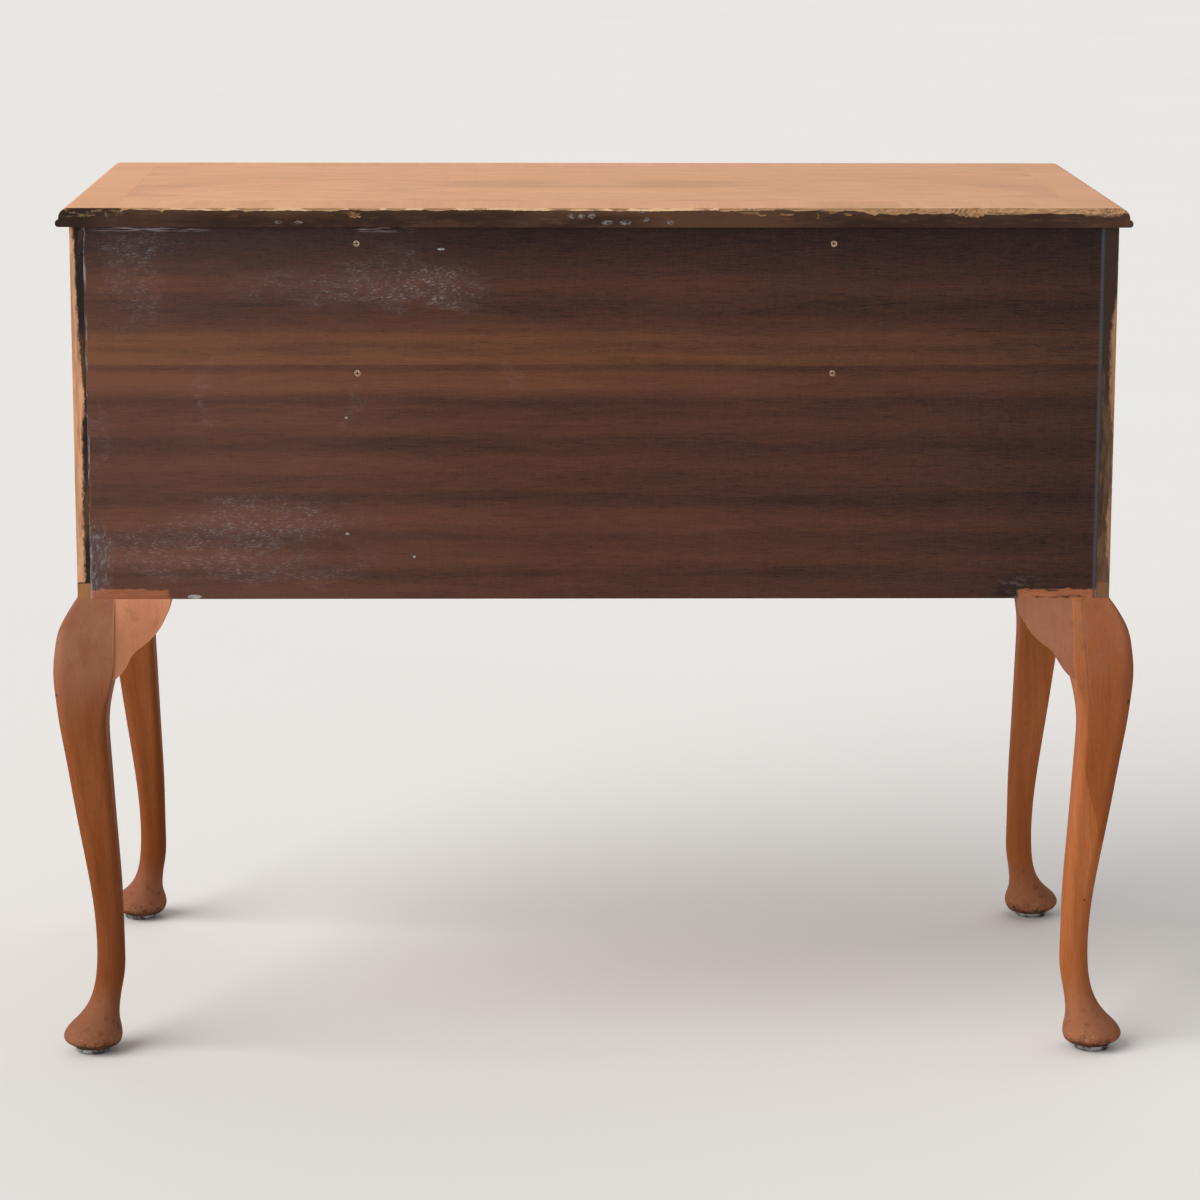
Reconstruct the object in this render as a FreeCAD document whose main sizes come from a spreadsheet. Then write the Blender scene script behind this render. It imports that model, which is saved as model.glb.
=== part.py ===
import FreeCAD, Part
import math
import os
import re
import Sketcher

# A walnut lowboy: a box carcase with one long drawer over three, on four cabriole legs.
# The front faces -Y, left and right are as seen from the front, and the floor is z = 0.
# The origin is on the floor under the middle of the carcase.

# Driving sizes in millimetres.
SIZES = {
    # Carcase
    "body_width": 940,
    "body_depth": 465,
    "body_height": 339,
    "floor_to_body": 429,
    "side_thickness": 18,
    "back_thickness": 5,
    "back_lip": 12,
    "rail_thickness": 16,
    "rail_depth": 60,
    "rear_rail_height": 30,
    "rear_rail_thickness": 18,
    "long_opening_height": 108,
    "bottom_board_thickness": 12,
    "bottom_runner_thickness": 4,
    "bottom_rail_depth": 45,
    "partition_offset": 214,
    "partition_thickness": 18,
    "stile_depth": 22,
    "runner_width": 25,
    "stop_width": 30,
    "stop_depth": 20,
    "stop_height": 6,
    "stop_inset": 40,
    # Top board
    "top_thickness": 17,
    "top_overhang": 12,
    "top_rear_overhang": 4,
    "top_nose_height": 6.5,
    "top_nose_step": 3,
    "top_nose_radius": 2.8,
    "top_fillet_height": 1.5,
    "top_corner_radius": 8,
    # Rail dowels and the screws that hold the top
    "rail_dowel_diameter": 8,
    "rail_dowel_length": 24,
    "top_screw_diameter": 4,
    "top_screw_head_diameter": 8,
    "top_screw_grip": 9,
    # Back screws
    "screw_diameter": 3,
    "screw_length": 22,
    "screw_sink": 0.6,
    "countersink_diameter": 7,
    # Legs and their ears
    "leg_stock": 56.5,
    "knee_projection": 22.5,
    "hollow_setback": 24.5,
    "ankle_setback": 8.2,
    "ankle_width": 25.5,
    "foot_diameter": 54,
    "foot_setback": 4.5,
    "sole_diameter": 34,
    "ear_length": 50,
    "ear_height": 71,
    "ear_thickness": 31,
    "leg_dowel_diameter": 10,
    "leg_dowel_length": 56,
    "leg_dowel_inset": 22,
    "glide_diameter": 32,
    "glide_height": 5,
    "glide_rounding": 2,
    "glide_nail_diameter": 4,
    "glide_nail_length": 14,
    # Drawers
    "drawer_gap": 1,
    "running_gap": 0.3,
    "front_thickness": 20,
    "bead_thickness": 3,
    "bead_depth": 7,
    "bead_projection": 2.5,
    "bead_rounding": 1.3,
    "drawer_side_thickness": 10,
    "drawer_side_drop": 6,
    "drawer_back_thickness": 10,
    "drawer_back_drop": 6,
    "drawer_rear_gap": 6,
    "drawer_bottom_thickness": 5,
    "drawer_bottom_inset": 10,
    "groove_depth": 4,
    "tail_lap": 0.5,
    # Handles
    "post_spacing": 64,
    "post_projection": 14,
    "neck_diameter": 7,
    "ball_diameter": 13,
    "rose_diameter": 22,
    "rose_height": 3,
    "bolt_diameter": 4.8,
    "bolt_tail": 2,
    "nut_width": 10,
    "nut_height": 4,
    "bail_diameter": 4.5,
    "bail_clearance": 0.25,
    "bail_pin_reach": 8,
    "bail_shoulder": 13,
    "bail_flare": 17,
    "bail_elbow_drop": 14,
    "bail_drop": 29,
    "bail_shoulder_radius": 5,
    "bail_elbow_radius": 8,
    "bail_heel_radius": 14,
    # Fits and cuts
    "fit_clearance": 0.1,
    "overrun": 5,
}

doc = FreeCAD.newDocument("lowboy")
sheet = doc.addObject("Spreadsheet::Sheet", "sizes")
for row, (alias, size) in enumerate(SIZES.items(), start=1):
    sheet.set(f"A{row}", alias)
    sheet.set(f"B{row}", str(size))
    sheet.setAlias(f"B{row}", alias)
doc.recompute()

nodes = []
# How near two coordinates are when they mean the same plane.
CLOSE = 1e-6


def formula(text):
    """Point every size named in a formula at its cell. A word before a bracket is a function."""
    return re.sub(r"\b[a-z][a-z_]+\b(?!\()", lambda word: "sizes." + word.group(), text)


def measure(text):
    """The value of a formula at the present sizes."""
    return float(sheet.evalExpression(formula(text)))


def bind(item, formulas):
    for name, text in formulas.items():
        item.setExpression(name, formula(text))
    return item


def place(item, x, y, z):
    return bind(item, {"Placement.Base.x": x, "Placement.Base.y": y, "Placement.Base.z": z})


def node(item):
    """Keep a finished piece, named by its Label."""
    nodes.append(item)
    return item


def board(name, x, y, z):
    """A straight board: x, y and z each give where it starts and how far it runs."""
    item = doc.addObject("Part::Box", name)
    bind(item, {"Length": x[1], "Width": y[1], "Height": z[1]})
    return place(item, x[0], y[0], z[0])


TURNS = {
    "right": FreeCAD.Rotation(FreeCAD.Vector(0, 1, 0), 90),
    "front": FreeCAD.Rotation(FreeCAD.Vector(1, 0, 0), 90),
    "up": FreeCAD.Rotation(),
}


def turned(kind, name, start, direction, formulas):
    """A turned primitive whose axis runs from start in the given direction."""
    item = doc.addObject(kind, name)
    item.Placement.Rotation = TURNS[direction]
    bind(item, formulas)
    return place(item, *start)


def rod(name, start, direction, diameter, length):
    formulas = {"Radius": f"({diameter}) / 2", "Height": length}
    return turned("Part::Cylinder", name, start, direction, formulas)


def group(name, pieces):
    """Like pieces that share one node as separate solids."""
    item = doc.addObject("Part::Compound", name)
    item.Links = pieces
    return item


def fuse(name, pieces):
    item = doc.addObject("Part::MultiFuse", name)
    item.Shapes = pieces
    return item


def cut(name, base, tools):
    item = doc.addObject("Part::Cut", name)
    item.Base = base
    item.Tool = tools[0] if len(tools) == 1 else fuse(name + "_waste", tools)
    return item


def edges_where(shape, test):
    """The numbers of the edges that pass a test on their bounding box."""
    return [number for number, edge in enumerate(shape.Edges, start=1) if test(edge.BoundBox)]


def close(a, b):
    return abs(a - b) < CLOSE


def span(side, start, size):
    """A run along X on the right of the middle, or its mirror image on the left."""
    return (start, size) if side == "right" else (f"-({start}) - ({size})", size)


def sketch_on(body, name, plane, offset="0"):
    """A sketch on one of the body's own planes, moved off it by offset."""
    sketch = body.newObject("Sketcher::SketchObject", name)
    origin_plane = next(item for item in body.Origin.OriginFeatures if item.Role == plane)
    sketch.AttachmentSupport = [(origin_plane, "")]
    sketch.MapMode = "FlatFace"
    bind(sketch, {"AttachmentOffset.Base.z": offset})
    return sketch


def fix_size(sketch, kind, places, text):
    """Add a driving dimension that follows a formula."""
    number = sketch.addConstraint(Sketcher.Constraint(kind, *places, measure(text)))
    bind(sketch, {f"Constraints[{number}]": text})


def outline(sketch, corners):
    """A closed outline. Each corner is x, y and the radius of the arc to the next corner, None for a line.

    A positive radius bulges to the right of the way round, a negative one to the left.
    """
    points = [FreeCAD.Vector(measure(x), measure(y), 0) for x, y, _ in corners]
    for number, (x, y, radius) in enumerate(corners):
        start = points[number]
        end = points[(number + 1) % len(points)]
        if radius is None:
            sketch.addGeometry(Part.LineSegment(start, end))
            continue
        reach = abs(measure(radius))
        bulge = 1 if measure(radius) > 0 else -1
        half = (end - start).Length / 2
        rise = reach - (reach ** 2 - half ** 2) ** 0.5
        aside = FreeCAD.Vector(end.y - start.y, start.x - end.x, 0).normalize()
        sketch.addGeometry(Part.Arc(start, (start + end) / 2 + aside * rise * bulge, end))
    ends = []
    for number, start in enumerate(points):
        first_end = sketch.getPoint(number, 1).distanceToPoint(start)
        second_end = sketch.getPoint(number, 2).distanceToPoint(start)
        ends.append((1, 2) if first_end < second_end else (2, 1))
    for number, (x, y, radius) in enumerate(corners):
        following = (number + 1) % len(corners)
        join = (number, ends[number][1], following, ends[following][0])
        sketch.addConstraint(Sketcher.Constraint("Coincident", *join))
        fix_size(sketch, "DistanceX", (-1, 1, number, ends[number][0]), x)
        fix_size(sketch, "DistanceY", (-1, 1, number, ends[number][0]), y)
        if radius is not None:
            fix_size(sketch, "Radius", (number,), radius.lstrip("-"))


# Planes that the carcase is set out from.
FRONT = "(-body_depth / 2)"
BACK = "(body_depth / 2)"
INNER_BACK = f"({BACK} - back_thickness)"
INSIDE = "(body_width / 2 - side_thickness)"
BODY_TOP = "(floor_to_body + body_height)"
BOARD_TOP = "(floor_to_body + bottom_board_thickness)"
LOWER_RUN = f"({BOARD_TOP} + bottom_runner_thickness)"
KICK = f"({BODY_TOP} - rail_thickness)"
UPPER_RUN = f"({KICK} - long_opening_height)"
LOWER_KICK = f"({UPPER_RUN} - rail_thickness)"
CLEAR_WIDTH = f"(2 * {INSIDE})"

# Dowels and nails that hold the legs, placed at the right rear corner and repeated by sign.
CORNERS = {
    "rear_right": (1, 1),
    "rear_left": (-1, 1),
    "front_right": (1, -1),
    "front_left": (-1, -1),
}
POST = "(leg_stock - knee_projection)"


def corner_pins(name, inset_x, inset_y, low, diameter, length):
    """One upright pin at each corner of the carcase."""
    pins = []
    for corner, (x_sign, y_sign) in CORNERS.items():
        x = f"{x_sign} * (body_width / 2 - {inset_x})"
        y = f"{y_sign} * (body_depth / 2 - {inset_y})"
        pins.append(rod(f"{name}_{corner}", (x, y, low), "up", diameter, length))
    return pins


DOWEL_LOW = "(floor_to_body - leg_dowel_length / 2)"
dowel_place = ("side_thickness / 2", "leg_dowel_inset", DOWEL_LOW)
dowels = corner_pins("dowel", *dowel_place, "leg_dowel_diameter", "leg_dowel_length")
dowel_bore = "leg_dowel_diameter + 2 * fit_clearance"
dowel_holes = corner_pins("dowel_hole", *dowel_place, dowel_bore, "leg_dowel_length")
node(group("leg_dowels", dowels))

# Dowels along X that join the rails to the sides, two at each end of a rail: depth and level of each.
DOWEL_SHARES = (0.22, 0.78)
TOP_FRONT_LEVEL = f"({KICK} + rail_thickness / 2)"
MIDDLE_LEVEL = f"({LOWER_KICK} + rail_thickness / 2)"
BOTTOM_LEVEL = f"((floor_to_body + {LOWER_RUN}) / 2)"
TOP_REAR_DEPTH = f"({INNER_BACK} - rear_rail_thickness / 2)"
RAIL_DOWELS = {
    "top_front": [(f"{FRONT} + {share} * rail_depth", TOP_FRONT_LEVEL) for share in DOWEL_SHARES],
    "top_rear": [(TOP_REAR_DEPTH, f"{BODY_TOP} - {share} * rear_rail_height") for share in DOWEL_SHARES],
    "middle_front": [(f"{FRONT} + {share} * rail_depth", MIDDLE_LEVEL) for share in DOWEL_SHARES],
    "middle_rear": [(f"{INNER_BACK} - {share} * rail_depth", MIDDLE_LEVEL) for share in DOWEL_SHARES],
    "bottom_front": [(f"{FRONT} + {share} * bottom_rail_depth", BOTTOM_LEVEL) for share in DOWEL_SHARES],
}
rail_dowels = []
rail_bores = {}
for rail, places in RAIL_DOWELS.items():
    rail_bores[rail] = []
    for side, joint in (("left", f"-{INSIDE}"), ("right", INSIDE)):
        for number, (y, z) in enumerate(places):
            name = f"{rail}_dowel_{side}_{number}"
            start = (f"{joint} - rail_dowel_length / 2", y, z)
            rail_dowels.append(rod(name, start, "right", "rail_dowel_diameter", "rail_dowel_length"))
            bore = "rail_dowel_diameter + 2 * fit_clearance"
            rail_bores[rail].append(rod(name + "_bore", start, "right", bore, "rail_dowel_length"))
node(group("rail_dowels", rail_dowels))

# Sides: the rear edge is rebated so that the back panel lies inside a lip.
for side in ("left", "right"):
    x_run = span(side, INSIDE, "side_thickness")
    blank = board(f"{side}_side_blank", x_run, (FRONT, "body_depth"), ("floor_to_body", "body_height"))
    rebate = board(
        f"{side}_rebate",
        span(side, f"{INSIDE} - overrun", "side_thickness - back_lip + overrun"),
        (INNER_BACK, "back_thickness + overrun"),
        ("floor_to_body - overrun", "body_height + 2 * overrun"),
    )
    holes = [hole for hole in dowel_holes + sum(rail_bores.values(), []) if side in hole.Label]
    node(cut(f"{side}_side_panel", blank, [rebate] + holes))

# Back panel and its four sunk screws, driven into the top and middle rear rails.
SCREW_LEVELS = {
    "upper": f"({BODY_TOP} - rear_rail_height / 2)",
    "lower": f"({LOWER_KICK} + rail_thickness / 2)",
}
SINK_DEPTH = "(countersink_diameter / 2 - screw_diameter / 2)"
screws = []
screw_holes = []
for level, z in SCREW_LEVELS.items():
    for side in ("left", "right"):
        name = f"{level}_{side}"
        x = "partition_offset" if side == "right" else "-partition_offset"
        tip = (x, f"{BACK} - screw_sink", z)
        core = "screw_diameter - 2 * fit_clearance"
        deep = "screw_length + screw_sink"
        head = turned("Part::Cone", f"screw_head_{name}", tip, "front", {
            "Radius1": "countersink_diameter / 2 - screw_sink - fit_clearance",
            "Radius2": "screw_diameter / 2 - fit_clearance",
            "Height": f"{SINK_DEPTH} - screw_sink",
        })
        shank = rod(f"screw_shank_{name}", tip, "front", core, "screw_length")
        screws.append(fuse(f"screw_{name}", [head, shank]))
        sink = turned("Part::Cone", f"screw_sink_{name}", (x, BACK, z), "front", {
            "Radius1": "countersink_diameter / 2",
            "Radius2": "screw_diameter / 2",
            "Height": SINK_DEPTH,
        })
        bore = rod(f"screw_bore_{name}", (x, BACK, z), "front", "screw_diameter", deep)
        screw_holes.append(fuse(f"screw_hole_{name}", [sink, bore]))
node(group("back_screws", screws))
back_x = ("back_lip - body_width / 2", "body_width - 2 * back_lip")
back_blank = board("back_blank", back_x, (INNER_BACK, "back_thickness"), ("floor_to_body", "body_height"))
node(cut("back_panel", back_blank, screw_holes))

# Bottom board, the front rail it meets and the strips that the lower drawers run on.
CLEAR_X = (f"-{INSIDE}", CLEAR_WIDTH)
bottom_y = (f"{FRONT} + bottom_rail_depth", f"{INNER_BACK} - ({FRONT}) - bottom_rail_depth")
node(board("bottom_board", CLEAR_X, bottom_y, ("floor_to_body", "bottom_board_thickness")))
bottom_rail_z = ("floor_to_body", "bottom_board_thickness + bottom_runner_thickness")
bottom_rail = board("bottom_front_blank", CLEAR_X, (FRONT, "bottom_rail_depth"), bottom_rail_z)
node(cut("bottom_front_rail", bottom_rail, rail_bores["bottom_front"]))
PARTITION_IN = "(partition_offset - partition_thickness / 2)"
PARTITION_OUT = "(partition_offset + partition_thickness / 2)"
RUNNER_STARTS = {
    "centre": f"{PARTITION_IN} - runner_width",
    "partition": PARTITION_OUT,
    "side": f"{INSIDE} - runner_width",
}
strip_z = (BOARD_TOP, "bottom_runner_thickness")
bottom_strips = []
for side in ("left", "right"):
    for beside, start in RUNNER_STARTS.items():
        x_run = span(side, start, "runner_width")
        bottom_strips.append(board(f"strip_{side}_{beside}", x_run, bottom_y, strip_z))
node(group("bottom_runners", bottom_strips))

# Middle frame between the drawer rows: two rails joined by runners at the ends and over the partitions.
middle_z = (LOWER_KICK, "rail_thickness")
middle_front = board("middle_front_blank", CLEAR_X, (FRONT, "rail_depth"), middle_z)
node(cut("middle_front_rail", middle_front, rail_bores["middle_front"]))
middle_rear = board("middle_rear_blank", CLEAR_X, (f"{INNER_BACK} - rail_depth", "rail_depth"), middle_z)
lower_holes = [hole for hole in screw_holes if "lower" in hole.Label]
node(cut("middle_rear_rail", middle_rear, lower_holes + rail_bores["middle_rear"]))
middle_y = (f"{FRONT} + rail_depth", f"{INNER_BACK} - ({FRONT}) - 2 * rail_depth")
middle_runners = []
for side in ("left", "right"):
    end_x = span(side, f"{INSIDE} - runner_width", "runner_width")
    over_x = span(side, f"{PARTITION_IN} - runner_width", "partition_thickness + 2 * runner_width")
    middle_runners.append(board(f"end_runner_{side}", end_x, middle_y, middle_z))
    middle_runners.append(board(f"partition_runner_{side}", over_x, middle_y, middle_z))
node(group("middle_runners", middle_runners))

# Top frame: a flat front rail, an upright rear rail and the kickers that stop the long drawer tipping.
top_z = (KICK, "rail_thickness")
TOP_SCREW_SINK = "((top_screw_head_diameter - top_screw_diameter) / 2)"
top_screws = []
top_screw_holes = []
front_screw_y = f"{FRONT} + rail_depth / 2"
rear_screw_y = f"{INNER_BACK} - rear_rail_thickness - rail_depth / 2"
kicker_x = f"({INSIDE} - runner_width / 2)"
for name, x, y in (
    ("front_left", "-partition_offset", front_screw_y),
    ("front_right", "partition_offset", front_screw_y),
    ("kicker_left", f"-{kicker_x}", rear_screw_y),
    ("kicker_right", kicker_x, rear_screw_y),
):
    for kind, slack in (("top_screw", "0"), ("top_hole", "fit_clearance")):
        start = (x, y, KICK)
        head = turned("Part::Cone", f"{kind}_head_{name}", start, "up", {
            "Radius1": f"top_screw_head_diameter / 2 + {slack}",
            "Radius2": f"top_screw_diameter / 2 + {slack}",
            "Height": TOP_SCREW_SINK,
        })
        length = "rail_thickness + top_screw_grip"
        shank = rod(f"{kind}_shank_{name}", start, "up", f"top_screw_diameter + 2 * {slack}", length)
        solids = top_screws if kind == "top_screw" else top_screw_holes
        solids.append(fuse(f"{kind}_{name}", [head, shank]))
node(group("top_screws", top_screws))
top_front = board("top_front_blank", CLEAR_X, (FRONT, "rail_depth"), top_z)
front_holes = [hole for hole in top_screw_holes if "front" in hole.Label]
node(cut("top_front_rail", top_front, front_holes + rail_bores["top_front"]))
rear_rail = board(
    "top_rear_blank",
    CLEAR_X,
    (f"{INNER_BACK} - rear_rail_thickness", "rear_rail_thickness"),
    (f"{BODY_TOP} - rear_rail_height", "rear_rail_height"),
)
upper_holes = [hole for hole in screw_holes if "upper" in hole.Label]
node(cut("top_rear_rail", rear_rail, upper_holes + rail_bores["top_rear"]))
kicker_y = (f"{FRONT} + rail_depth", f"{INNER_BACK} - ({FRONT}) - rail_depth - rear_rail_thickness")
kickers = []
for side in ("left", "right"):
    x_run = span(side, f"{INSIDE} - runner_width", "runner_width")
    strip = board(f"kicker_blank_{side}", x_run, kicker_y, top_z)
    holes = [hole for hole in top_screw_holes if f"kicker_{side}" in hole.Label]
    kickers.append(cut(f"kicker_{side}", strip, holes))
node(group("top_kickers", kickers))

# Partitions between the lower drawers, each behind a front stile.
stiles = []
for side in ("left", "right"):
    x_run = span(side, PARTITION_IN, "partition_thickness")
    y_run = (f"{FRONT} + stile_depth", f"{INNER_BACK} - ({FRONT}) - stile_depth")
    panel = board(f"{side}_partition_blank", x_run, y_run, (BOARD_TOP, f"{LOWER_KICK} - {BOARD_TOP}"))
    node(cut(f"{side}_partition", panel, [bottom_rail]))
    stile_z = (LOWER_RUN, f"{LOWER_KICK} - {LOWER_RUN}")
    stiles.append(board(f"stile_{side}", x_run, (FRONT, "stile_depth"), stile_z))
node(group("partition_stiles", stiles))

# Drawer bays: clear opening from left to right, running level and the kicker above it.
BAYS = {
    "long_drawer": (f"-{INSIDE}", INSIDE, UPPER_RUN, KICK),
    "left_drawer": (f"-{INSIDE}", f"-{PARTITION_OUT}", LOWER_RUN, LOWER_KICK),
    "centre_drawer": (f"-{PARTITION_IN}", PARTITION_IN, LOWER_RUN, LOWER_KICK),
    "right_drawer": (PARTITION_OUT, INSIDE, LOWER_RUN, LOWER_KICK),
}

# Stops glued on the rails: a closed drawer's front rests against them.
stops = []
for bay, (left, right, low, high) in BAYS.items():
    for end, x in (("left", f"{left} + stop_inset"), ("right", f"{right} - stop_inset - stop_width")):
        stop_y = (f"{FRONT} + front_thickness + running_gap", "stop_depth")
        stops.append(board(f"{bay}_stop_{end}", (x, "stop_width"), stop_y, (low, "stop_height")))
node(group("drawer_stops", stops))

# Top board: a round-nosed slab under a smaller one whose upper edge is a quarter round.
# The moulding runs round the ends and the front, and the rear edge is cut square.
top = doc.addObject("PartDesign::Body", "top_blank")
NOSE_TOP = f"({BODY_TOP} + top_nose_height)"
TOP_LAYERS = (
    ("nose", "top_overhang", BODY_TOP, "top_nose_height"),
    ("ovolo", "(top_overhang - top_nose_step)", NOSE_TOP, "top_thickness - top_nose_height"),
)
for layer, overhang, low, height in TOP_LAYERS:
    left = f"-(body_width / 2 + {overhang})"
    right = f"body_width / 2 + {overhang}"
    front = f"{FRONT} - {overhang}"
    rear = f"{BACK} + top_rear_overhang"
    plan = sketch_on(top, f"{layer}_plan", "XY_Plane", low)
    outline(plan, [(left, front, None), (right, front, None), (right, rear, None), (left, rear, None)])
    pad = top.newObject("PartDesign::Pad", f"{layer}_pad")
    pad.Profile = plan
    bind(pad, {"Length": height})
doc.recompute()
TOP_REAR = measure(f"{BACK} + top_rear_overhang")
TOP_LEVEL = measure(f"{BODY_TOP} + top_thickness")
NOSE_LEVELS = (measure(BODY_TOP), measure(NOSE_TOP))
NOSE_REACH = measure("body_width / 2 + top_overhang")
NOSE_FRONT = measure(f"{FRONT} - top_overhang")


def at_front_corner(box):
    return box.ZLength > 0 and close(box.XLength, 0) and close(box.YLength, 0) and box.YMax < 0


def on_upper_edge(box):
    return close(box.ZMin, TOP_LEVEL) and not close(box.YMin, TOP_REAR)


def on_nose(box):
    level = any(close(box.ZMin, z) and close(box.ZMax, z) for z in NOSE_LEVELS)
    outside = close(max(abs(box.XMin), abs(box.XMax)), NOSE_REACH) or close(box.YMin, NOSE_FRONT)
    return level and outside and not close(box.YMin, TOP_REAR)


# The quarter round ends flush above the faces of the carcase, and both roundings stay within their walls.
NOSE_LIMIT_SHARE = 0.95
QUARTER_ROUND = "min(top_overhang - top_nose_step; top_thickness - top_nose_height - top_fillet_height)"
NOSE_LIMIT = f"{NOSE_LIMIT_SHARE} * min(top_nose_step; top_nose_height / 2)"
NOSING = f"min(top_nose_radius; {NOSE_LIMIT})"
for name, chosen, radius in (
    ("front_corners", at_front_corner, "top_corner_radius"),
    ("quarter_round", on_upper_edge, QUARTER_ROUND),
    ("nosing", on_nose, NOSING),
):
    edges = [f"Edge{number}" for number in edges_where(top.Shape, chosen)]
    base = top.Tip
    rounding = top.newObject("PartDesign::Fillet", name)
    rounding.Base = (base, edges)
    bind(rounding, {"Radius": radius})
    top.Tip = rounding
    doc.recompute()
node(cut("top_board", top, top_screw_holes))

# Cabriole leg, drawn at the right rear corner: X and Y point outwards from the faces of the carcase.
# Each section is a square with rounded corners, the same in X and Y. Its outer and inner edges are shares
# of the knee, the hollow under the ears, the ankle and the foot.
OUTER_EDGES = ("knee_projection", "-ankle_setback", "(foot_diameter / 2 - foot_setback)")
INNER_EDGES = (
    f"-{POST}",
    "-hollow_setback",
    "-(ankle_setback + ankle_width)",
    "-(foot_diameter / 2 + foot_setback)",
)
SOLE_EDGES = ("(sole_diameter / 2 - foot_setback)", "-(sole_diameter / 2 + foot_setback)")
# Height, outer shares, inner shares, then the roundness of the outer, side and inner corners.
LEG_SHARES = (
    (1.000, (0.00, 0.00, 0.00), (1.00, 0.00, 0.00, 0.00), (0.12, 0.03, 0.03)),
    (0.985, (0.24, 0.00, 0.00), (1.00, 0.00, 0.00, 0.00), (0.16, 0.03, 0.03)),
    (0.967, (0.465, 0.00, 0.00), (1.00, 0.00, 0.00, 0.00), (0.22, 0.03, 0.03)),
    (0.932, (0.78, 0.00, 0.00), (1.00, 0.00, 0.00, 0.00), (0.30, 0.03, 0.03)),
    (0.900, (0.905, 0.00, 0.00), (0.995, 0.005, 0.00, 0.00), (0.36, 0.03, 0.03)),
    (0.868, (0.98, 0.00, 0.00), (0.965, 0.035, 0.00, 0.00), (0.40, 0.03, 0.03)),
    (0.840, (1.00, 0.00, 0.00), (0.83, 0.17, 0.00, 0.00), (0.42, 0.05, 0.05)),
    (0.792, (0.955, 0.045, 0.00), (0.37, 0.63, 0.00, 0.00), (0.45, 0.16, 0.12)),
    (0.741, (0.88, 0.12, 0.00), (0.03, 0.97, 0.00, 0.00), (0.47, 0.28, 0.22)),
    (0.669, (0.74, 0.26, 0.00), (0.00, 0.91, 0.09, 0.00), (0.50, 0.38, 0.32)),
    (0.562, (0.535, 0.465, 0.00), (0.00, 0.64, 0.36, 0.00), (0.55, 0.46, 0.42)),
    (0.455, (0.32, 0.68, 0.00), (0.00, 0.36, 0.64, 0.00), (0.62, 0.56, 0.52)),
    (0.347, (0.11, 0.89, 0.00), (0.00, 0.10, 0.90, 0.00), (0.72, 0.68, 0.65)),
    (0.225, (0.00, 1.00, 0.00), (0.00, 0.00, 1.00, 0.00), (0.86, 0.84, 0.82)),
    (0.165, (0.00, 0.96, 0.04), (0.00, 0.00, 0.73, 0.27), (0.90, 0.90, 0.88)),
    (0.127, (0.00, 0.86, 0.14), (0.00, 0.20, 0.12, 0.68), (0.93, 0.93, 0.92)),
    (0.096, (0.00, 0.67, 0.33), (0.00, 0.40, 0.00, 0.60), (0.95, 0.95, 0.95)),
    (0.070, (0.00, 0.36, 0.64), (0.00, 0.36, 0.00, 0.64), (0.96, 0.96, 0.96)),
    (0.052, (0.00, 0.10, 0.90), (0.00, 0.10, 0.00, 0.90), (0.97, 0.97, 0.97)),
    (0.038, (0.00, 0.00, 1.00), (0.00, 0.00, 0.00, 1.00), (0.97, 0.97, 0.97)),
    (0.024, (0.00, 0.07, 0.93), (0.00, 0.20, 0.00, 0.80), (0.97, 0.97, 0.97)),
)


def mixed(sizes, shares):
    """The sum of some sizes, each taken by its share."""
    return "(" + " + ".join(f"{share} * {size}" for size, share in zip(sizes, shares)) + ")"


def rounded_square(sketch, low, high, roundness):
    """A square from low to high in X and Y, with its own radius at the outer, side and inner corners."""
    outer, beside, inner = (f"({high} - {low}) / 2 * {share}" for share in roundness)
    a = measure(low)
    b = measure(high)
    corners = (
        (b, a, measure(beside), -90),
        (b, b, measure(outer), 0),
        (a, b, measure(beside), 90),
        (a, a, measure(inner), 180),
    )
    upright = FreeCAD.Vector(0, 0, 1)
    arcs = []
    for x, y, radius, start in corners:
        centre_x = x - radius if x == b else x + radius
        centre_y = y - radius if y == b else y + radius
        circle = Part.Circle(FreeCAD.Vector(centre_x, centre_y, 0), upright, radius)
        arcs.append(Part.ArcOfCircle(circle, math.radians(start), math.radians(start + 90)))
    for number, arc in enumerate(arcs):
        sketch.addGeometry(Part.LineSegment(arcs[number - 1].EndPoint, arc.StartPoint))
        sketch.addGeometry(arc)
    for number in range(len(arcs)):
        line = 2 * number
        after = (2 * number + 2) % (2 * len(arcs))
        sketch.addConstraint(Sketcher.Constraint("Tangent", line, 2, line + 1, 1))
        sketch.addConstraint(Sketcher.Constraint("Tangent", line + 1, 2, after, 1))
        sketch.addConstraint(Sketcher.Constraint("Vertical" if number % 2 else "Horizontal", line))
    for line, text in ((0, low), (2, high), (4, high), (6, low)):
        kind = "DistanceX" if line in (2, 6) else "DistanceY"
        fix_size(sketch, kind, (-1, 1, line, 1), text)
    for arc, text in ((1, beside), (3, outer), (5, beside), (7, inner)):
        fix_size(sketch, "Radius", (arc,), text)


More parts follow.
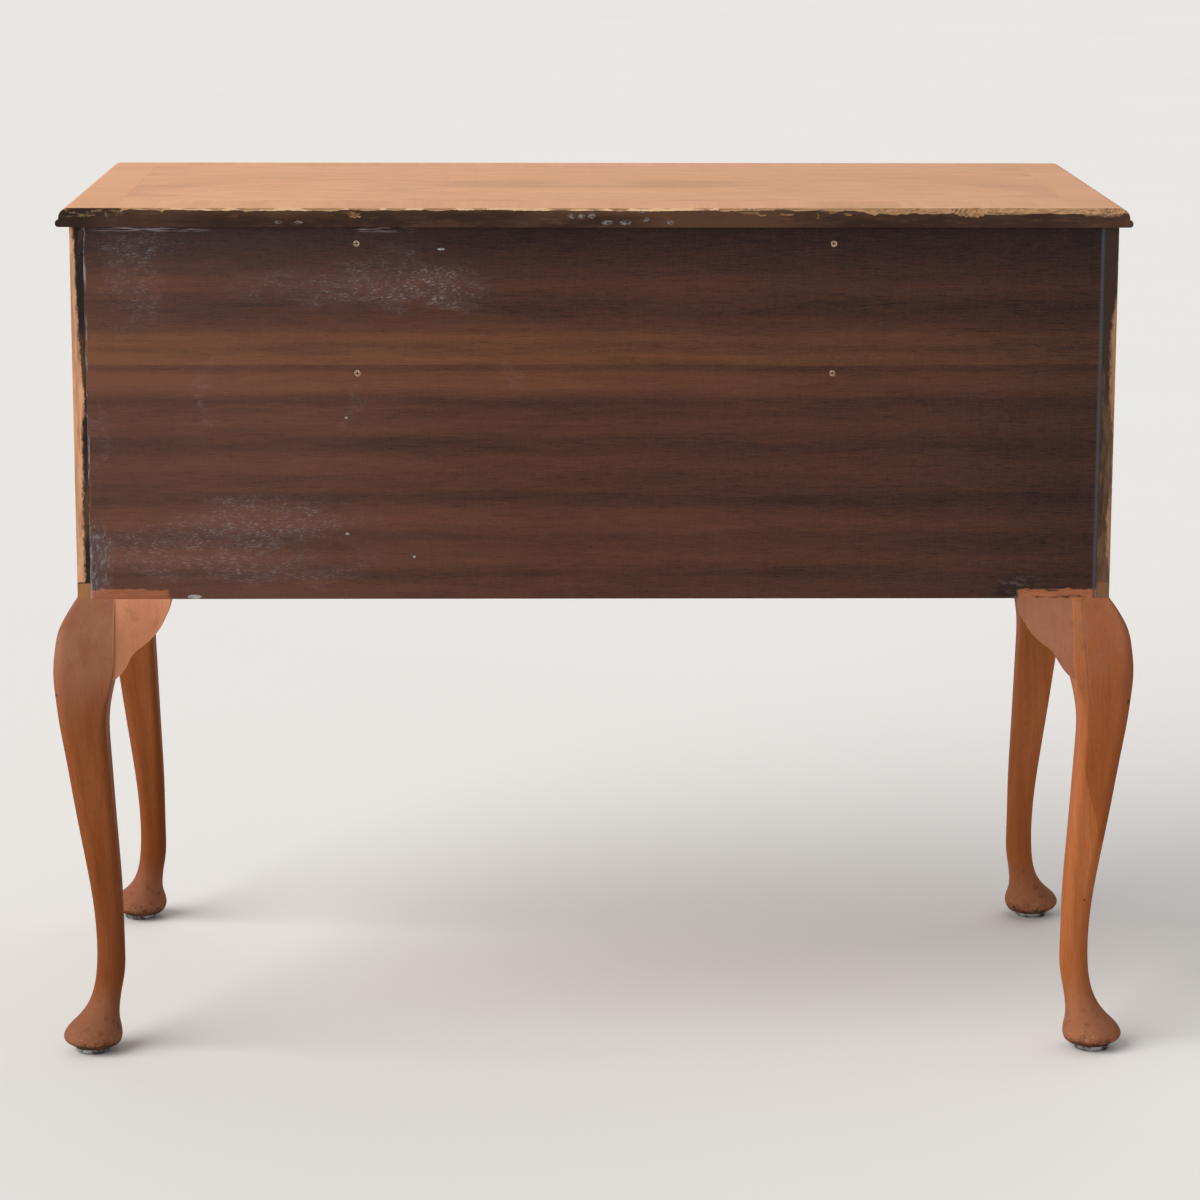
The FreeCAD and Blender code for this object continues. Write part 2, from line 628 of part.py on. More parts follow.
leg = doc.addObject("PartDesign::Body", "leg_blank")
sections = []
for number, (height, outer_shares, inner_shares, roundness) in enumerate(LEG_SHARES):
    section = sketch_on(leg, f"leg_section_{number}", "XY_Plane", f"{height} * floor_to_body")
    rounded_square(section, mixed(INNER_EDGES, inner_shares), mixed(OUTER_EDGES, outer_shares), roundness)
    sections.append(section)
sole = sketch_on(leg, "leg_sole", "XY_Plane", "glide_height")
rounded_square(sole, SOLE_EDGES[1], SOLE_EDGES[0], LEG_SHARES[-1][-1])
sections.append(sole)
shank = leg.newObject("PartDesign::AdditiveLoft", "leg_loft")
shank.Profile = sections[0]
shank.Sections = sections[1:]
leg_bores = [
    rod(
        "leg_dowel_bore",
        ("-side_thickness / 2", "-leg_dowel_inset", DOWEL_LOW),
        "up",
        dowel_bore,
        "leg_dowel_length",
    ),
    rod(
        "glide_nail_bore",
        ("-foot_setback", "-foot_setback", "0"),
        "up",
        "glide_nail_diameter + 2 * fit_clearance",
        "glide_height + glide_nail_length",
    ),
]
bored_leg = cut("bored_leg", leg, leg_bores)

# Ear beside the leg's post: its face sweeps from the curve of the knee to flush with the carcase, and its
# lower edge is an ogee. The second ear of each leg is the same, turned over about the leg's diagonal.
ear = doc.addObject("PartDesign::Body", "ear_blank")
EAR_LOW = "(floor_to_body - ear_height)"
# Where the two arcs of the face meet, out and up, and how far the upper arc swells above its chord.
SLOPE_SHARES = (LEG_SHARES[3][1][0], LEG_SHARES[3][0])
SWELL_SHARE = 0.07
# Distance along the ear, and how much of the knee's bulge is left there.
EAR_SWEEP_SHARES = ((0.0, 0.99), (0.45, 0.5), (1.0, 0.12))
ear_sections = []
for number, (along, bulge) in enumerate(EAR_SWEEP_SHARES):
    overlap = " + overrun" if along == 0 else ""
    distance = f"-{POST} - {along} * ear_length{overlap}"
    section = sketch_on(ear, f"ear_section_{number}", "YZ_Plane", distance)
    knee = f"({bulge} * knee_projection)"
    slope_end = f"({SLOPE_SHARES[0]} * {knee})"
    slope_level = f"({SLOPE_SHARES[1]} * floor_to_body)"
    aside = f"({knee} - {slope_end})"
    drop = f"({slope_level} - {EAR_LOW})"
    chord_squared = f"({slope_end} ^ 2 + (floor_to_body - {slope_level}) ^ 2)"
    swell = f"({SWELL_SHARE} * {knee})"
    outline(section, [
        ("-ear_thickness", "floor_to_body", None),
        ("-ear_thickness", EAR_LOW, None),
        (knee, EAR_LOW, f"({aside} ^ 2 + {drop} ^ 2) / (2 * {aside})"),
        (slope_end, slope_level, f"{chord_squared} / (8 * {swell}) + {swell} / 2"),
        ("0", "floor_to_body", None),
    ])
    ear_sections.append(section)
ear_loft = ear.newObject("PartDesign::AdditiveLoft", "ear_loft")
ear_loft.Profile = ear_sections[0]
ear_loft.Sections = ear_sections[1:]
# Places on the ogee, as shares of the ear's length from the post and its height from the top, and the
# radius to the next place as a share of the length.
OGEE_SHARES = ((1.0, 0.0, "1.14"), (0.46, 0.61, "-0.60"), (0.22, 0.83, "0.70"), (0.0, 1.0, None))
ogee = []
for along, down, radius in OGEE_SHARES:
    x = f"-{POST} - {along} * ear_length"
    z = f"floor_to_body - {down} * ear_height"
    ogee.append((x, z, radius and f"{radius} * ear_length"))
tip_x = f"-{POST} - ear_length - overrun"
heel_x = f"-{POST} + 2 * overrun"
waste = sketch_on(ear, "ear_waste", "XZ_Plane")
outline(waste, ogee + [
    (heel_x, EAR_LOW, None),
    (heel_x, f"{EAR_LOW} - overrun", None),
    (tip_x, f"{EAR_LOW} - overrun", None),
    (tip_x, "floor_to_body", None),
])
ogee_cut = ear.newObject("PartDesign::Pocket", "ogee_cut")
ogee_cut.Profile = waste
ogee_cut.Type = "ThroughAll"
ogee_cut.Midplane = True
fitted_ear = cut("fitted_ear", ear, [leg])
other_ear = doc.addObject("Part::Mirroring", "other_ear")
other_ear.Source = fitted_ear
other_ear.Normal = FreeCAD.Vector(1, -1, 0)

# The right rear leg and ears stand at their corner, and the other three corners are mirror images.
corner_place = ("body_width / 2", "body_depth / 2", "0")
rear_right = {
    "leg": place(group("rear_right_leg", [bored_leg]), *corner_place),
    "ears": place(group("rear_right_ears", [fitted_ear, other_ear]), *corner_place),
}
for piece, original in rear_right.items():
    node(original)
    copies = {"rear_right": original}
    for corner, source, normal in (
        ("rear_left", "rear_right", (1, 0, 0)),
        ("front_right", "rear_right", (0, 1, 0)),
        ("front_left", "rear_left", (0, 1, 0)),
    ):
        copy = doc.addObject("Part::Mirroring", f"{corner}_{piece}")
        copy.Source = copies[source]
        copy.Normal = FreeCAD.Vector(*normal)
        copies[corner] = node(copy)

# Steel glides: a disc with a rounded lower edge, nailed into the sole of each foot.
nail_place = ("foot_setback", "foot_setback", "glide_height")
nails = corner_pins("glide_nail", *nail_place, "glide_nail_diameter", "glide_nail_length")
discs = corner_pins("glide_disc", "foot_setback", "foot_setback", "0", "glide_diameter", "glide_height")
doc.recompute()
glides = []
for disc, nail in zip(discs, nails):
    floor_edge = edges_where(disc.Shape, lambda box: close(box.ZMax, 0))
    rounded = doc.addObject("Part::Fillet", disc.Label + "_rounded")
    rounded.Base = disc
    radius = measure("glide_rounding")
    rounded.Edges = [(number, radius, radius) for number in floor_edge]
    glides.append(fuse(disc.Label.replace("disc", "piece"), [rounded, nail]))
node(group("foot_glides", glides))

# Drawers: a beaded front with the sides dovetailed into it, a bottom in grooves and a lower back.
DRAWER_REAR = f"({INNER_BACK} - rear_rail_thickness - drawer_rear_gap)"
FRONT_REAR = f"({FRONT} + front_thickness)"
# Width of a dovetail at its tip and root, as shares of the pitch.
TAIL_SHARES = (0.70, 0.56)
TAIL_LENGTH = "(front_thickness - bead_depth - tail_lap)"


def dovetails(name, x, low, height, count):
    """Tails on the front end of a drawer side, evenly spaced over its height."""
    tails = []
    for number in range(count):
        pitch = f"(({height}) / {count})"
        tail = doc.addObject("Part::Wedge", f"{name}_tail_{number}")
        formulas = {"Xmin": "0", "X2min": "0", "Ymin": "0", "Ymax": TAIL_LENGTH}
        formulas.update({"Xmax": "drawer_side_thickness", "X2max": "drawer_side_thickness"})
        for prefix, share in zip(("Z", "Z2"), TAIL_SHARES):
            formulas[prefix + "min"] = f"-{pitch} * {share} / 2"
            formulas[prefix + "max"] = f"{pitch} * {share} / 2"
        bind(tail, formulas)
        tail_level = f"{low} + {pitch} * ({number} + 1 / 2)"
        tails.append(place(tail, x, f"{FRONT_REAR} - {TAIL_LENGTH}", tail_level))
    return tails


def cock_bead(name, left, right, low, high):
    """Four mitred strips round the drawer front, with rounded noses that stand proud of it."""
    corners = ((left, low), (right, low), (right, high), (left, high))
    strips = []
    for number, (x, z) in enumerate(corners):
        length = f"({right} - ({left}))" if number % 2 == 0 else f"({high} - ({low}))"
        strip = doc.addObject("Part::Wedge", f"{name}_strip_{number}")
        bind(strip, {
            "Xmin": "0",
            "Xmax": length,
            "X2min": "bead_thickness",
            "X2max": f"{length} - bead_thickness",
            "Ymin": "0",
            "Ymax": "bead_thickness",
            "Zmin": "0",
            "Zmax": "bead_depth + bead_projection",
            "Z2min": "0",
            "Z2max": "bead_depth + bead_projection",
        })
        about_front = FreeCAD.Rotation(FreeCAD.Vector(0, 1, 0), -90 * number)
        strip.Placement.Rotation = about_front * TURNS["front"]
        place(strip, x, f"{FRONT} + bead_depth", z)
        strips.append(strip)
    doc.recompute()
    nose = measure(f"{FRONT} - bead_projection")
    radius = measure(f"min(bead_rounding; {NOSE_LIMIT_SHARE} * bead_thickness / 2)")
    mitre = measure("2 * bead_thickness")

    def on_long_nose(box):
        return close(box.YMin, nose) and close(box.YMax, nose) and max(box.XLength, box.ZLength) > mitre

    rounded = []
    for strip in strips:
        long_edges = edges_where(strip.Shape, on_long_nose)
        moulded = doc.addObject("Part::Fillet", strip.Label + "_rounded")
        moulded.Base = strip
        moulded.Edges = [(number, radius, radius) for number in long_edges]
        rounded.append(moulded)
    return group(name, rounded)


def handle_posts(name, x, z):
    """Two turned posts with roses, each held by a nut inside the drawer, and the bores that they need."""
    solids = []
    bores = []
    for end, offset in (("left", "-post_spacing / 2"), ("right", "post_spacing / 2")):
        post_x = f"{x} + {offset}"
        label = f"{name}_{end}"
        face = (post_x, FRONT, z)
        inside = (post_x, f"{FRONT_REAR} + nut_height + bolt_tail", z)
        through = "front_thickness + nut_height + bolt_tail + post_projection"
        rose = turned("Part::Cone", f"{label}_rose", face, "front", {
            "Radius1": "rose_diameter / 2",
            "Radius2": "ball_diameter / 2",
            "Height": "rose_height",
        })
        neck = rod(f"{label}_neck", face, "front", "neck_diameter", "post_projection")
        ball_place = (post_x, f"{FRONT} - post_projection", z)
        ball = turned("Part::Sphere", f"{label}_ball", ball_place, "up", {"Radius": "ball_diameter / 2"})
        bolt = rod(f"{label}_bolt", inside, "front", "bolt_diameter", through)
        eye_start = (f"{post_x} - ball_diameter", f"{FRONT} - post_projection", z)
        eye = rod(
            f"{label}_eye", eye_start, "right", "bail_diameter + 2 * bail_clearance", "2 * ball_diameter"
        )
        solids.append(cut(f"{label}_post", fuse(f"{label}_turning", [rose, neck, ball, bolt]), [eye]))
        nut_start = (post_x, f"{FRONT_REAR} + nut_height", z)
        hexagon = turned("Part::Prism", f"{label}_hexagon", nut_start, "front", {
            "Circumradius": "nut_width / 2",
            "Height": "nut_height",
        })
        thread = rod(f"{label}_thread", inside, "front", "bolt_diameter + 2 * fit_clearance", through)
        solids.append(cut(f"{label}_nut", hexagon, [thread]))
        bores.append(thread)
    return solids, bores


def bent_wire(points, radii):
    """Straight runs through the points, joined by tangent arcs of the given radii."""
    edges = []
    start = points[0]
    for before, corner, after, radius in zip(points, points[1:], points[2:], radii):
        towards = (corner - before).normalize()
        away = (after - corner).normalize()
        half_turn = towards.getAngle(away) / 2
        arc_start = corner - towards * radius * math.tan(half_turn)
        arc_end = corner + away * radius * math.tan(half_turn)
        crown = corner + (away - towards).normalize() * (radius / math.cos(half_turn) - radius)
        edges.append(Part.LineSegment(start, arc_start).toShape())
        edges.append(Part.Arc(arc_start, crown, arc_end).toShape())
        start = arc_end
    edges.append(Part.LineSegment(start, points[-1]).toShape())
    return Part.Wire(edges)


# Places along half of a swan-neck bail, outwards from a post's middle and down from its axis, with the
# radius of the bend there.
BAIL_BENDS = (
    ("-bail_pin_reach", "0", None),
    ("bail_shoulder", "0", "bail_shoulder_radius"),
    ("bail_flare", "bail_elbow_drop", "bail_elbow_radius"),
    ("0", "bail_drop", "bail_heel_radius"),
)


def swan_neck_bail(name, x, z):
    """A bent brass rod whose ends turn inwards through the eyes of two posts."""
    depth = measure(f"{FRONT} - post_projection")
    points = []
    radii = []
    for side in (1, -1):
        for out, down, radius in BAIL_BENDS[::side]:
            across = measure(f"{x} + {side} * (post_spacing / 2 + {out})")
            points.append(FreeCAD.Vector(across, depth, measure(f"{z} - {down}")))
            if radius:
                radii.append(measure(radius))
    path = doc.addObject("Part::Feature", f"{name}_path")
    path.Shape = bent_wire(points, radii)
    section = doc.addObject("Part::Circle", f"{name}_section")
    section.Placement.Rotation = TURNS["right"]
    bind(section, {"Radius": "bail_diameter / 2"})
    place(section, f"{x} + post_spacing / 2 - bail_pin_reach", f"{FRONT} - post_projection", z)
    bail = doc.addObject("Part::Sweep", name)
    bail.Sections = [section]
    bail.Spine = (path, [f"Edge{number + 1}" for number in range(len(path.Shape.Edges))])
    bail.Solid = True
    return bail


def drawer(name, bay, tail_count, handles):
    """All the pieces of one drawer. Each handle has a name and its place across the carcase."""
    bay_left, bay_right, run, kick = bay
    left = f"({bay_left} + drawer_gap)"
    right = f"({bay_right} - drawer_gap)"
    low = f"({run} + running_gap)"
    high = f"({kick} - drawer_gap)"
    width = f"({right} - {left})"
    height = f"({high} - {low})"
    middle = f"(({low} + {high}) / 2)"
    side_height = f"({height} - drawer_side_drop)"
    side_length = f"({DRAWER_REAR} - {FRONT_REAR})"
    inner_left = f"({left} + drawer_side_thickness)"
    inner_width = f"({width} - 2 * drawer_side_thickness)"
    bottom = node(board(
        f"{name}_bottom",
        (f"{inner_left} - groove_depth", f"{inner_width} + 2 * groove_depth"),
        (f"{FRONT_REAR} - groove_depth", f"{side_length} + groove_depth"),
        (f"{low} + drawer_bottom_inset", "drawer_bottom_thickness"),
    ))
    sides = []
    tails = []
    for end, x in (("left", left), ("right", f"{right} - drawer_side_thickness")):
        side_tails = dovetails(f"{name}_{end}", x, low, side_height, tail_count)
        run_board = board(
            f"{name}_{end}_run", (x, "drawer_side_thickness"), (FRONT_REAR, side_length), (low, side_height)
        )
        tailed = fuse(f"{name}_{end}_tailed", [run_board] + side_tails)
        sides.append(cut(f"{name}_{end}_side", tailed, [bottom]))
        tails.extend(side_tails)
    node(group(f"{name}_sides", sides))
    back_low = f"({low} + drawer_bottom_inset + drawer_bottom_thickness)"
    back_high = f"({low} + {side_height} - drawer_back_drop)"
    node(board(
        f"{name}_back",
        (inner_left, inner_width),
        (f"{DRAWER_REAR} - drawer_back_thickness", "drawer_back_thickness"),
        (back_low, f"{back_high} - {back_low}"),
    ))
    bolts = []
    bores = []
    for handle, x in handles:
        posts, post_bores = handle_posts(f"{name}_{handle}", x, middle)
        bolts.extend(posts)
        bores.extend(post_bores)
        node(swan_neck_bail(f"{name}_{handle}", x, middle))
    node(group(f"{name}_posts", bolts))
    rear_layer = board(
        f"{name}_front_rear",
        (left, width),
        (f"{FRONT} + bead_depth", "front_thickness - bead_depth"),
        (low, height),
    )
    front_layer = board(
        f"{name}_front_face",
        (f"{left} + bead_thickness", f"{width} - 2 * bead_thickness"),
        (FRONT, "bead_depth"),
        (f"{low} + bead_thickness", f"{height} - 2 * bead_thickness"),
    )
    blank = fuse(f"{name}_front_blank", [rear_layer, front_layer])
    node(cut(f"{name}_front", blank, tails + [bottom] + bores))
    node(cock_bead(f"{name}_cock_bead", left, right, low, high))


SIDE_BAY = f"(({PARTITION_OUT} + {INSIDE}) / 2)"
drawer("long_drawer", BAYS["long_drawer"], 3, (("left_bail", f"-{SIDE_BAY}"), ("right_bail", SIDE_BAY)))
drawer("left_drawer", BAYS["left_drawer"], 4, (("bail", f"-{SIDE_BAY}"),))
drawer("centre_drawer", BAYS["centre_drawer"], 4, (("bail", "0"),))
drawer("right_drawer", BAYS["right_drawer"], 4, (("bail", SIDE_BAY),))
doc.recompute()

os.makedirs("parts", exist_ok=True)
for item in doc.Objects:
    if "Invalid" in item.State or "Error" in item.State:
        raise RuntimeError(f"{item.Label} failed to build")
for item in nodes:
    if item.Shape.isNull() or not item.Shape.isValid():
        raise RuntimeError(f"{item.Label} has no valid shape")
    item.Shape.exportStep(f"parts/{item.Label}.step")
print(len(nodes), "nodes")
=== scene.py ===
import bpy
import math
from mathutils import Matrix, Vector


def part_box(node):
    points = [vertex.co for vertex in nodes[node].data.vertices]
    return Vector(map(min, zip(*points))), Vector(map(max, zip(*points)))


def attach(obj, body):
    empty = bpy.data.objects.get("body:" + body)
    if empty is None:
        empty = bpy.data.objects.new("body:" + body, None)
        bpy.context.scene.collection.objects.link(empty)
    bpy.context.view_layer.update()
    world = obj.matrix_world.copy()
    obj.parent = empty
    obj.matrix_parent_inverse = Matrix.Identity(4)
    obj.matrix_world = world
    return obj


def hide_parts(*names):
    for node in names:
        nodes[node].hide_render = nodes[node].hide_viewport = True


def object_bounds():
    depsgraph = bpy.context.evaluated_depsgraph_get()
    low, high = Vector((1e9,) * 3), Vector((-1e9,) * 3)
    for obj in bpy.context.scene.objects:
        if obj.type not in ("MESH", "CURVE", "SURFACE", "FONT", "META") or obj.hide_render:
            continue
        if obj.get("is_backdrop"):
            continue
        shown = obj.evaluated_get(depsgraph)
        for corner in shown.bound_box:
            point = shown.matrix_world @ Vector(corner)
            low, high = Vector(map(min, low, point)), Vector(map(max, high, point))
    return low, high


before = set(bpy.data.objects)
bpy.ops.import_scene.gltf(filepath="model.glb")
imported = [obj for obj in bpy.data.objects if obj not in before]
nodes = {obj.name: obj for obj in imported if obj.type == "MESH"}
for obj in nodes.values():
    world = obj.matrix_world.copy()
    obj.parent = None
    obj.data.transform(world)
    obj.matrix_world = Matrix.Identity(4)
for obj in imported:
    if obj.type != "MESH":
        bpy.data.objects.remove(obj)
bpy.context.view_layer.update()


# Carcase sides: boards veneered outside with straight-grained walnut, set upright between top and legs.
# Their rear edges were painted dark together with the back, and the paint is rubbed off towards the outside.
EVEN = (1.0, 1.0, 1.0)
UPRIGHT = (1.0, 1.0, 0.06)
SIDE_TONES = ((0.150, 0.050, 0.018, 1.0), (0.330, 0.124, 0.046, 1.0), (0.430, 0.178, 0.072, 1.0))
INNER_TONES = ((0.200, 0.100, 0.045, 1.0), (0.360, 0.205, 0.100, 1.0), (0.450, 0.275, 0.145, 1.0))
EDGE_BLACK = (0.011, 0.008, 0.007, 1.0)
EDGE_BROWN = (0.098, 0.044, 0.018, 1.0)
EDGE_UMBER = (0.034, 0.017, 0.010, 1.0)
EDGE_TAN = (0.125, 0.062, 0.032, 1.0)
WORN_PALE = (0.710, 0.352, 0.188, 1.0)
# The same worn wood darkened as painted shade, for the left side.
WORN_IN_PAINTED_SHADE = (0.340, 0.175, 0.095, 1.0)
BLOCK_TAN = (0.345, 0.152, 0.057, 1.0)
# How far the finish of a face reaches below its surface: where it starts, and where it is full.
SKIN = (0.0012, 0.0004)
EDGE_SKIN = (0.0008, 0.0003)
# The end of the corner block under a rear edge: its height, how uneven its upper end is, half of the margin
# there, and the dark joint along it.
BLOCK_HEIGHT = 0.0150
BLOCK_RAGGED = 0.0012
MARGIN = 0.0006
BLOCK_JOINT = (0.0010, 0.0003)
# Paint on a rear edge: how uneven its margin is and where it runs from bare to covered, then the share of
# the width that is covered, from the bottom of the panel to its top.
PAINT_RAGGED = 0.0042
PAINT_MARGIN = (-0.0016, 0.0012)
RUBBED_PAINT = (
    (0.00, 0.34), (0.20, 0.46), (0.34, 0.38), (0.488, 0.34),
    (0.498, 0.17), (0.56, 0.19), (0.66, 0.42), (1.00, 0.74),
)
KEPT_PAINT = (
    (0.00, 1.00), (0.06, 0.95), (0.12, 0.68), (0.22, 0.62), (0.31, 0.92),
    (0.45, 0.90), (0.55, 0.60), (0.72, 0.58), (0.84, 1.00),
)
# Each side: the name of its finish, its paint, thick and thin paint, the wood worn bare and how much of the
# corner block shows. The worn wood of the left side is that of the right made darker as painted shade.
SIDES = {
    "right_side_panel": ("side_rubbed", RUBBED_PAINT, (EDGE_BLACK, EDGE_BROWN), WORN_PALE, 1.0),
    "left_side_panel": ("side_painted", KEPT_PAINT, (EDGE_UMBER, EDGE_TAN), WORN_IN_PAINTED_SHADE, 0.3),
}


class Shade:
    """One value of a finish. Sums and products of shades add Math nodes to that finish."""

    def __init__(self, tree, socket):
        self.tree = tree
        self.socket = socket

    def node(self, kind, settings, inputs, output=0):
        """Add a node of one kind: its settings come first, then the values or links of its sockets."""
        made = self.tree.nodes.new("ShaderNode" + kind)
        for name, setting in settings.items():
            if name == "stops":
                elements = made.color_ramp.elements
                elements.remove(elements[1])
                elements[0].position, elements[0].color = setting[0]
                for position, colour in setting[1:]:
                    elements.new(position).color = colour
            else:
                setattr(made, name, setting)
        for name, value in inputs.items():
            if isinstance(value, Shade):
                self.tree.links.new(value.socket, made.inputs[name])
            else:
                made.inputs[name].default_value = value
        return Shade(self.tree, made.outputs[output] if made.outputs else None)

    def beside(self, name):
        """Another output of the same node."""
        return Shade(self.tree, self.socket.node.outputs[name])

    def math(self, operation, *values):
        return self.node("Math", {"operation": operation}, dict(enumerate(values)))

    def size(self):
        """The value without its sign."""
        return self.math("ABSOLUTE", self)

    def __add__(self, other):
        return self.math("ADD", self, other)

    def __sub__(self, other):
        return self.math("SUBTRACT", self, other)

    def __rsub__(self, other):
        return self.math("SUBTRACT", other, self)

    def __mul__(self, other):
        return self.math("MULTIPLY", self, other)

    def __truediv__(self, other):
        return self.math("DIVIDE", self, other)

    __radd__ = __add__
    __rmul__ = __mul__


def new_finish(name):
    """An empty material, and the place on the piece that its patterns are drawn from."""
    material = bpy.data.materials.new(name)
    material.use_nodes = True
    material.node_tree.nodes.clear()
    place = Shade(material.node_tree, None).node("TexCoord", {}, {}, "Object")
    return material, place


def axes(place):
    x = place.node("SeparateXYZ", {}, {0: place})
    return x, x.beside("Y"), x.beside("Z")


def mix(share, first, second):
    """The first colour where share is 0, the second where it is 1."""
    return share.node("Mix", {"data_type": "RGBA"}, {0: share, 6: first, 7: second}, 2)


def ease(value, low, high):
    """0 at low, 1 at high and a smooth step between them."""
    smooth = {"interpolation_type": "SMOOTHSTEP"}
    return value.node("MapRange", smooth, {"Value": value, "From Min": low, "From Max": high})


def cloud(place, lie, per_metre, detail=3.0, roughness=0.55, distortion=0.0):
    """Noise with so many features to the metre, drawn out along an axis where its share in lie is small."""
    scale = [per_metre * share for share in lie]
    spread = place.node("Mapping", {}, {"Vector": place, "Scale": scale})
    inputs = {"Vector": spread, "Scale": 1.0, "Detail": detail}
    inputs.update({"Roughness": roughness, "Distortion": distortion})
    return place.node("TexNoise", {}, inputs)


def ramp(value, pairs):
    """A value read from pairs of place and height, with straight lines between them."""
    stops = [(start, (height, height, height, 1.0)) for start, height in pairs]
    return value.node("ValToRGB", {"stops": stops}, {0: value})


def ragged(place, lie, per_metre, depth):
    """A small offset in metres that makes the edge of paint, stain or dirt uneven."""
    return (cloud(place, lie, per_metre, 6.0, 0.75) - 0.5) * (2 * depth)


def grain(place, lie, tones, bands=20.0, lines=150.0, contrast=0.45, open_pores=0.35):
    """Colour of wood cut along the grain, and its pores: broad bands, finer lines and dark open pores."""
    dark, middle, light = tones
    band = ease(cloud(place, lie, bands, 3.0, 0.5, 0.5), 0.34, 0.66)
    line = ease(cloud(place, lie, lines, 4.0, 0.6), 0.32, 0.68)
    pores = ease(cloud(place, lie, 1400.0, 2.0, 0.5), 0.58, 0.68)
    broad = mix(band, middle, light)
    lined = mix((1 - line) * contrast, broad, dark)
    return mix(pores * open_pores, lined, dark), pores


def seal(place, colour, roughness, height, depth, sheen=0.25, metal=0.0):
    """End a finish: colour and roughness over the surface, and a relief of that depth in metres."""
    relief = place.node("Bump", {}, {"Strength": 1.0, "Distance": depth, "Height": height})
    inputs = {"Base Color": colour, "Roughness": roughness, "Normal": relief}
    inputs.update({"Specular IOR Level": sheen, "Metallic": metal})
    shader = place.node("BsdfPrincipled", {}, inputs)
    place.node("OutputMaterial", {}, {"Surface": shader})


def dress(material, *names):
    """Give CAD pieces their finish."""
    for name in names:
        nodes[name].material_slots[0].material = material


def side_finish(name, side, cover, paints, worn, block):
    """Veneer outside and in front, bare wood inside, and a rear edge with paint over worn wood.

    The lowest part of the rear edge is an end of the corner block, and shows by the share given as block.
    """
    low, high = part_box(side)
    outer = max(abs(low.x), abs(high.x))
    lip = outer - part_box("back_panel")[1].x
    material, place = new_finish(name)
    x, y, z = axes(place)
    reach = x.size()
    veneer, pores = grain(place, UPRIGHT, SIDE_TONES)
    bare = grain(place, UPRIGHT, INNER_TONES, 14.0, 90.0)[0]
    outside = ease(reach, outer - SKIN[0], outer - SKIN[1])
    in_front = ease(y, low.y + SKIN[0], low.y + SKIN[1])
    wood = mix(outside.math("MAXIMUM", outside, in_front), bare, veneer)
    edge = ease(y, high.y - EDGE_SKIN[0], high.y - EDGE_SKIN[1])
    fibre = cloud(place, UPRIGHT, 420.0, 4.0)
    worn_wood = mix(ease(fibre, 0.35, 0.75) * 0.5, worn, EDGE_BROWN)
    level = (z - low.z) / (high.z - low.z)
    uneven = ragged(place, (1.0, 1.0, 0.35), 420.0, PAINT_RAGGED)
    gap = (outer - lip) + ramp(level, cover) * lip + uneven - reach
    paint = ease(gap, *PAINT_MARGIN)
    thin = ease(cloud(place, (1.0, 1.0, 0.2), 70.0, 5.0, 0.65) - level * 0.18, 0.34, 0.56)
    painted = mix(paint, worn_wood, mix(thin, *paints))
    end_line = z + ragged(place, EVEN, 90.0, BLOCK_RAGGED) - (low.z + BLOCK_HEIGHT)
    painted = mix(ease(end_line, MARGIN, -MARGIN) * block, painted, BLOCK_TAN)
    joint = ease(end_line.size(), *BLOCK_JOINT) * block * 0.8
    painted = mix(joint, painted, EDGE_BLACK)
    colour = mix(edge, wood, painted)
    rough = 0.40 + pores * 0.2 + edge * 0.15 - edge * paint * 0.14
    seal(place, colour, rough, 1 - pores - edge * (1 - paint) * 0.8, 0.0002, 0.22)
    return material


for side, (name, cover, paints, worn, block) in SIDES.items():
    dress(side_finish(name, side, cover, paints, worn, block), side)


# Back panel: plywood faced with ribbon-grained mahogany and stained nearly black, screwed to the rear rails.
# It is scuffed pale at one end, and the stain is scraped away in strips above the legs.
LENGTHWISE = (0.06, 1.0, 1.0)
STAIN_DEEP = (0.014, 0.0060, 0.0056, 1.0)
STAIN_LIGHT = (0.152, 0.053, 0.027, 1.0)
STAIN_GOLD = (0.172, 0.066, 0.027, 1.0)
SCUFF_PALE = (0.330, 0.285, 0.290, 1.0)
SCRAPE_PALE = (0.420, 0.400, 0.400, 1.0)
STRIP_TONES = ((0.170, 0.048, 0.018, 1.0), (0.315, 0.094, 0.038, 1.0), (0.400, 0.136, 0.060, 1.0))
# Blue-grey of a painted reflection along one end of the panel.
PAINTED_EDGE_REFLECTION = (0.058, 0.064, 0.072, 1.0)
PLAIN_TONE = 0.47
# Ribbons of the veneer: height of the middle, half the width, and how much lighter or darker they are.
RIBBONS = (
    (0.718, 0.007, 0.05), (0.697, 0.011, -0.16), (0.669, 0.004, 0.10), (0.659, 0.003, -0.06),
    (0.648, 0.005, 0.12), (0.640, 0.003, -0.04), (0.627, 0.011, 0.22), (0.609, 0.004, -0.06),
    (0.588, 0.008, 0.07), (0.570, 0.008, -0.12), (0.551, 0.008, 0.08), (0.533, 0.004, -0.04),
    (0.521, 0.006, -0.16), (0.500, 0.008, 0.15), (0.486, 0.005, -0.06), (0.467, 0.007, 0.13),
    (0.451, 0.004, -0.09), (0.439, 0.004, 0.04),
)
RIBBON_FADE = 1.7
# Golden bands: the heights where they begin, are full, start to fade and end. The second is weaker.
LIGHT_BAND = (0.6430, 0.6440, 0.660, 0.684)
SECOND_BAND = (0.6120, 0.6220, 0.634, 0.640)
SECOND_SHARE = 0.35
# Where the panel is darker, from its beginning to its full depth: across at the end away from the scuffs,
# which is painted shade, across and down in the corner there, and up under the top, from darker stain
# together with a painted shadow of the top's overhang.
PAINTED_SHADE_END = (-0.26, -0.46)
DARK_CORNER = ((-0.30, -0.46), (0.540, 0.440))
DARK_STAIN_AND_SHADOW_TOP = (0.700, 0.764)
# Dust over the scuffed end: where it begins across, and where it is full.
DUSTY_END = (0.02, 0.36)
